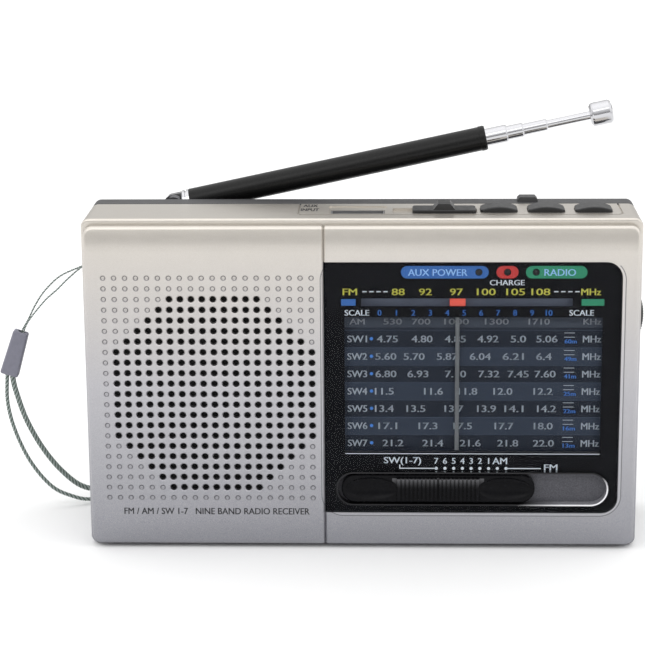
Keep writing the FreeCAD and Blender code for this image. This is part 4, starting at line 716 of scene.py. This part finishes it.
def print_scale():
    """Frequencies, band names and metre bands printed on the scale plate, the AM row darker as
    painted shade.
    """
    white = Print("scale_numbers", "scale ink", PLATE_Y)
    blue = Print("scale_metre_bands", "blue ink", PLATE_Y)
    # Painted shade: the AM row's print is darker, for the shade of the window's top edge.
    shaded = Print("scale_am_numbers", "shaded ink", PLATE_Y)
    am_row = HEADER_LOW + 1.55 * MM
    shaded.words("AM", -1.0 * MM, am_row, 1.55 * MM, 3.7 * MM)
    for text, x, width in (("530", 7.73, 4.5), ("700", 14.71, 4.5), ("1000", 23.41, 6.0),
                           ("1300", 33.26, 5.8), ("1710", 43.62, 5.1)):
        shaded.words(text, x * MM, am_row, 1.55 * MM, width * MM)
    shaded.words("KHz", 56.6 * MM, am_row, 1.55 * MM, 4.3 * MM)
    for line, (name, metres, marks) in enumerate(BANDS):
        row = SW_TOP - (line + 0.5) * SW_STEP
        white.words(name, -1.0 * MM, row, 1.8 * MM, 4.8 * MM)
        white.words("MHz", 56.6 * MM, row, 1.8 * MM, 4.4 * MM)
        blue.disc(2.5 * MM, row, 0.42 * MM)
        for text, x in marks:
            width = (5.1 if len(text) == 4 else 3.7) - (0.5 if text[0] == "1" else 0.0)
            white.words(text, x * MM, row, 1.8 * MM, width * MM)
        blue.words(metres, 51.4 * MM, row - 0.6 * MM, 1.1 * MM, 2.9 * MM)
        for rise in (0.42, 1.5):
            low, high = row + (rise - 0.06) * MM, row + (rise + 0.06) * MM
            white.rectangle(49.8 * MM, 52.4 * MM, low, high)
    for piece in (white, blue, shaded):
        piece.build()


def print_panel():
    """The line of plain wording under the grille."""
    low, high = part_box("speaker_panel")
    line = Print("panel_wording", "grey ink", low.y - 0.005 * MM)
    line.words("FM / AM / SW 1-7   NINE BAND RADIO RECEIVER", (low.x + high.x) / 2 + 2.2 * MM,
               low.z + 9.05 * MM, 1.75 * MM, 46.4 * MM)
    line.build()


def print_deck():
    """Two short lines of black print beside the socket slot."""
    low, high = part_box("usb_socket")
    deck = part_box("front_housing")[1].z
    note = Print("deck_wording", "black ink", deck + 0.005 * MM, lying=True)
    note.words("AUX", low.x - 5.3 * MM, low.y + 9.6 * MM, 3.4 * MM, 3.6 * MM)
    note.words("INPUT", low.x - 5.3 * MM, low.y + 4.6 * MM, 3.4 * MM, 4.4 * MM)
    note.build()


print_mask()
print_scale()
print_panel()
print_deck()


# ---------------------------------------------------------------- wrist strap
def smooth_path(points, steps):
    """Points along a Catmull-Rom curve through the given points."""
    ends = [points[0] * 2 - points[1]] + list(points) + [points[-1] * 2 - points[-2]]
    path = []
    for a, b, c, d in zip(ends, ends[1:], ends[2:], ends[3:]):
        for i in range(steps):
            t = i / steps
            path.append(0.5 * (2 * b + (c - a) * t + (2 * a - 5 * b + 4 * c - d) * t ** 2
                               + (3 * b - a - 3 * c + d) * t ** 3))
    return path + [points[-1]]


def braid(name, node, offsets, strands, strand_radius, wind_radius, pitch, steps=26, sides=8):
    """A cord of twisted strands, dark and pale in turn, as one mesh with closed ends.

    offsets are the points it follows, in millimetres from the low corner of a CAD node's box.
    """
    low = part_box(node)[0]
    path = smooth_path([low + Vector(offset) * MM for offset in offsets], steps)
    vertices, faces, tones = [], [], []
    side = Vector((0, 1, 0))
    travelled = 0.0
    frames = []
    for i, point in enumerate(path):
        ahead = (path[min(i + 1, len(path) - 1)] - path[max(i - 1, 0)]).normalized()
        side = (side - ahead * side.dot(ahead)).normalized()
        frames.append((point, side.copy(), ahead.cross(side), travelled))
        if i + 1 < len(path):
            travelled += (path[i + 1] - point).length
    rings = len(frames)
    for strand in range(strands):
        base = len(vertices)
        phase = 2 * math.pi * strand / strands
        for point, across, over, distance in frames:
            turn = phase + 2 * math.pi * distance / pitch
            centre = point + (across * math.cos(turn) + over * math.sin(turn)) * wind_radius
            for k in range(sides):
                spin = 2 * math.pi * k / sides
                outward = across * math.cos(spin) + over * math.sin(spin)
                vertices.append(centre + outward * strand_radius)
        for ring in range(rings - 1):
            for k in range(sides):
                a, b = base + ring * sides + k, base + ring * sides + (k + 1) % sides
                faces.append((a, b, b + sides, a + sides))
        faces.append([base + k for k in reversed(range(sides))])
        faces.append([base + (rings - 1) * sides + k for k in range(sides)])
        tones += [strand % 2] * (len(faces) - len(tones))
    mesh = bpy.data.meshes.new(name)
    mesh.from_pydata([tuple(v) for v in vertices], [], faces)
    mesh.materials.append(MATERIALS["cord"])
    mesh.materials.append(MATERIALS["pale cord"])
    for polygon, tone in zip(mesh.polygons, tones):
        polygon.use_smooth = True
        polygon.material_index = tone
    piece = place(name, mesh)
    return piece


def wrist_strap():
    """Two thin strings from the side bar, and the hand loop of twisted cord below the bead."""
    front = [(22.72, 3.81, 22.12), (19.82, 4.11, 21.22), (17.02, 4.31, 20.02), (11.72, 4.11, 17.62),
             (7.62, 3.91, 13.82), (5.02, 3.71, 10.02), (3.12, 3.61, 6.32), (1.3, 3.56, 3.14),
             (0.42, 3.61, 0.62)]
    back = [(22.72, 0.81, 21.92), (20.02, 0.61, 21.62), (17.62, 0.31, 20.62), (14.02, 0.81, 17.52),
            (11.12, 1.31, 14.62), (7.82, 1.81, 11.62), (3.32, 2.81, 6.12), (1.77, 3.06, 2.99),
            (1.02, 3.01, 0.32)]
    string = braid("string_front", "strap_string", front, 2, 0.14 * MM, 0.12 * MM, 1.1 * MM)
    braid("string_back", "strap_string", back, 2, 0.14 * MM, 0.12 * MM, 1.1 * MM)
    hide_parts("strap_string")
    thick = [(2.62, 0.66, 37.61), (2.49, 0.71, 35.88), (3.19, 1.16, 31.88), (5.29, 2.56, 24.08),
             (8.89, 4.76, 15.68), (13.39, 7.26, 8.48), (18.69, 10.06, 3.18), (26.29, 13.56, 1.08),
             (32.39, 15.46, 0.83), (36.39, 15.71, 0.73), (38.04, 14.06, 0.73)]
    thin = [(38.04, 14.06, 0.73), (36.39, 12.41, 0.73), (31.89, 11.96, 0.73), (26.39, 10.96, 0.73),
            (20.89, 6.46, 0.88), (16.29, 4.56, 2.38), (11.09, 3.26, 5.58), (5.99, 2.26, 12.58),
            (2.39, 1.46, 21.38), (0.79, 0.86, 29.58), (1.1, 0.66, 38.08)]
    loop = braid("loop_thick", "strap_cord", thick, 6, 0.31 * MM, 0.42 * MM, 3.6 * MM)
    braid("loop_thin", "strap_cord", thin, 4, 0.26 * MM, 0.27 * MM, 2.4 * MM)
    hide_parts("strap_cord")


def clear_lens():
    """The lens as a clear sheet that stops just short of the printing behind it."""
    mesh = nodes["dial_lens"].data.copy()
    gap = 0.1 * MM
    for vertex in mesh.vertices:
        if vertex.co.y > lens_high.y - gap:
            vertex.co.y = lens_high.y - gap
    sheet = place("clear_dial_lens", mesh)
    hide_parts("dial_lens")


wrist_strap()
clear_lens()


# ---------------------------------------------------------------- floor, light and camera
FLOOR_DROP = 0.2 * MM
LAMP_TARGET = Vector((0, 0, 0.04))
CAMERA_PLACE = 9.39 * MM, -538.8 * MM, 189.9 * MM
CAMERA_DOWN, CAMERA_LEFT, CAMERA_ROLL = (math.radians(angle) for angle in (14.18, 2.069, -0.483))
SENSOR_MM, LENS_MM = 36, 122.53


def stage():
    """A plain pale sheet under and behind the object."""
    size = 6.0
    mesh = bpy.data.meshes.new("floor")
    corners = [(-size, -size, 0), (size, -size, 0), (size, size, 0), (-size, size, 0)]
    mesh.from_pydata(corners, [], [(0, 1, 2, 3)])
    floor = bpy.data.objects.new("floor", mesh)
    floor.location.z = cad_box[0].z - FLOOR_DROP
    bpy.context.scene.collection.objects.link(floor)
    paper = Paint("floor_paper", Roughness=0.9)
    paper.drive(paper.mix(paper.noise(0.3), (0.90, 0.90, 0.90), (0.92, 0.92, 0.92)), "Base Color")
    mesh.materials.append(paper.material)


def lamp(name, spot, size, power):
    """A rectangular soft light at spot, facing the object; size is (width, height)."""
    light = bpy.data.lights.new(name, "AREA")
    light.shape = "RECTANGLE"
    light.size, light.size_y = size
    light.energy = power
    holder = bpy.data.objects.new(name, light)
    holder.location = spot
    holder.rotation_euler = (LAMP_TARGET - Vector(spot)).to_track_quat("-Z", "Y").to_euler()
    bpy.context.scene.collection.objects.link(holder)


def lighting():
    """A studio that is brightest overhead and at the sides, and dimmer in front and behind.

    Seen directly, past the edge of the floor, it is plain white.
    """
    world = bpy.data.worlds.new("studio")
    world.use_nodes = True
    bpy.context.scene.world = world
    tree = world.node_tree

    def step(operation, *values):
        made = tree.nodes.new("ShaderNodeMath")
        made.operation = operation
        for slot, value in zip(made.inputs, values):
            if isinstance(value, (int, float)):
                slot.default_value = value
            else:
                tree.links.new(value, slot)
        return made.outputs[0]

    split = tree.nodes.new("ShaderNodeSeparateXYZ")
    tree.links.new(tree.nodes.new("ShaderNodeTexCoord").outputs["Generated"], split.inputs[0])
    overhead = step("MULTIPLY_ADD", step("MAXIMUM", split.outputs[2], 0.0), 1.35, 0.30)
    sides = step("MULTIPLY", step("POWER", step("ABSOLUTE", split.outputs[0]), 4.0), 0.7)
    tree.nodes["Background"].inputs[0].default_value = (1.0, 1.0, 1.0, 1.0)
    seen = tree.nodes.new("ShaderNodeLightPath").outputs["Is Camera Ray"]
    strength = step("MAXIMUM", step("ADD", overhead, sides), seen)
    tree.links.new(strength, tree.nodes["Background"].inputs[1])
    lamp("key", (-0.35, -0.75, 0.75), (0.7, 0.5), 1.2)
    lamp("fill", (0.7, -0.6, 0.45), (0.5, 0.6), 0.5)


def camera():
    """Looks down on the front a little, from slightly right of centre."""
    pitch, yaw, roll = CAMERA_DOWN, CAMERA_LEFT, CAMERA_ROLL
    ahead = math.cos(pitch)
    forward = Vector((-math.sin(yaw) * ahead, math.cos(yaw) * ahead, -math.sin(pitch)))
    level = Vector((math.cos(yaw), math.sin(yaw), 0))
    upward = level.cross(forward)
    right = level * math.cos(roll) + upward * math.sin(roll)
    up = upward * math.cos(roll) - level * math.sin(roll)
    lens = bpy.data.cameras.new("camera")
    lens.sensor_width = SENSOR_MM
    lens.lens = LENS_MM
    lens.clip_start, lens.clip_end = 0.05, 20
    eye = bpy.data.objects.new("camera", lens)
    turn = Matrix((right, up, -forward)).transposed().to_4x4()
    eye.matrix_world = Matrix.Translation(CAMERA_PLACE) @ turn
    bpy.context.scene.collection.objects.link(eye)
    bpy.context.scene.camera = eye


stage()
lighting()
camera()
bpy.context.scene.view_settings.view_transform = "Standard"
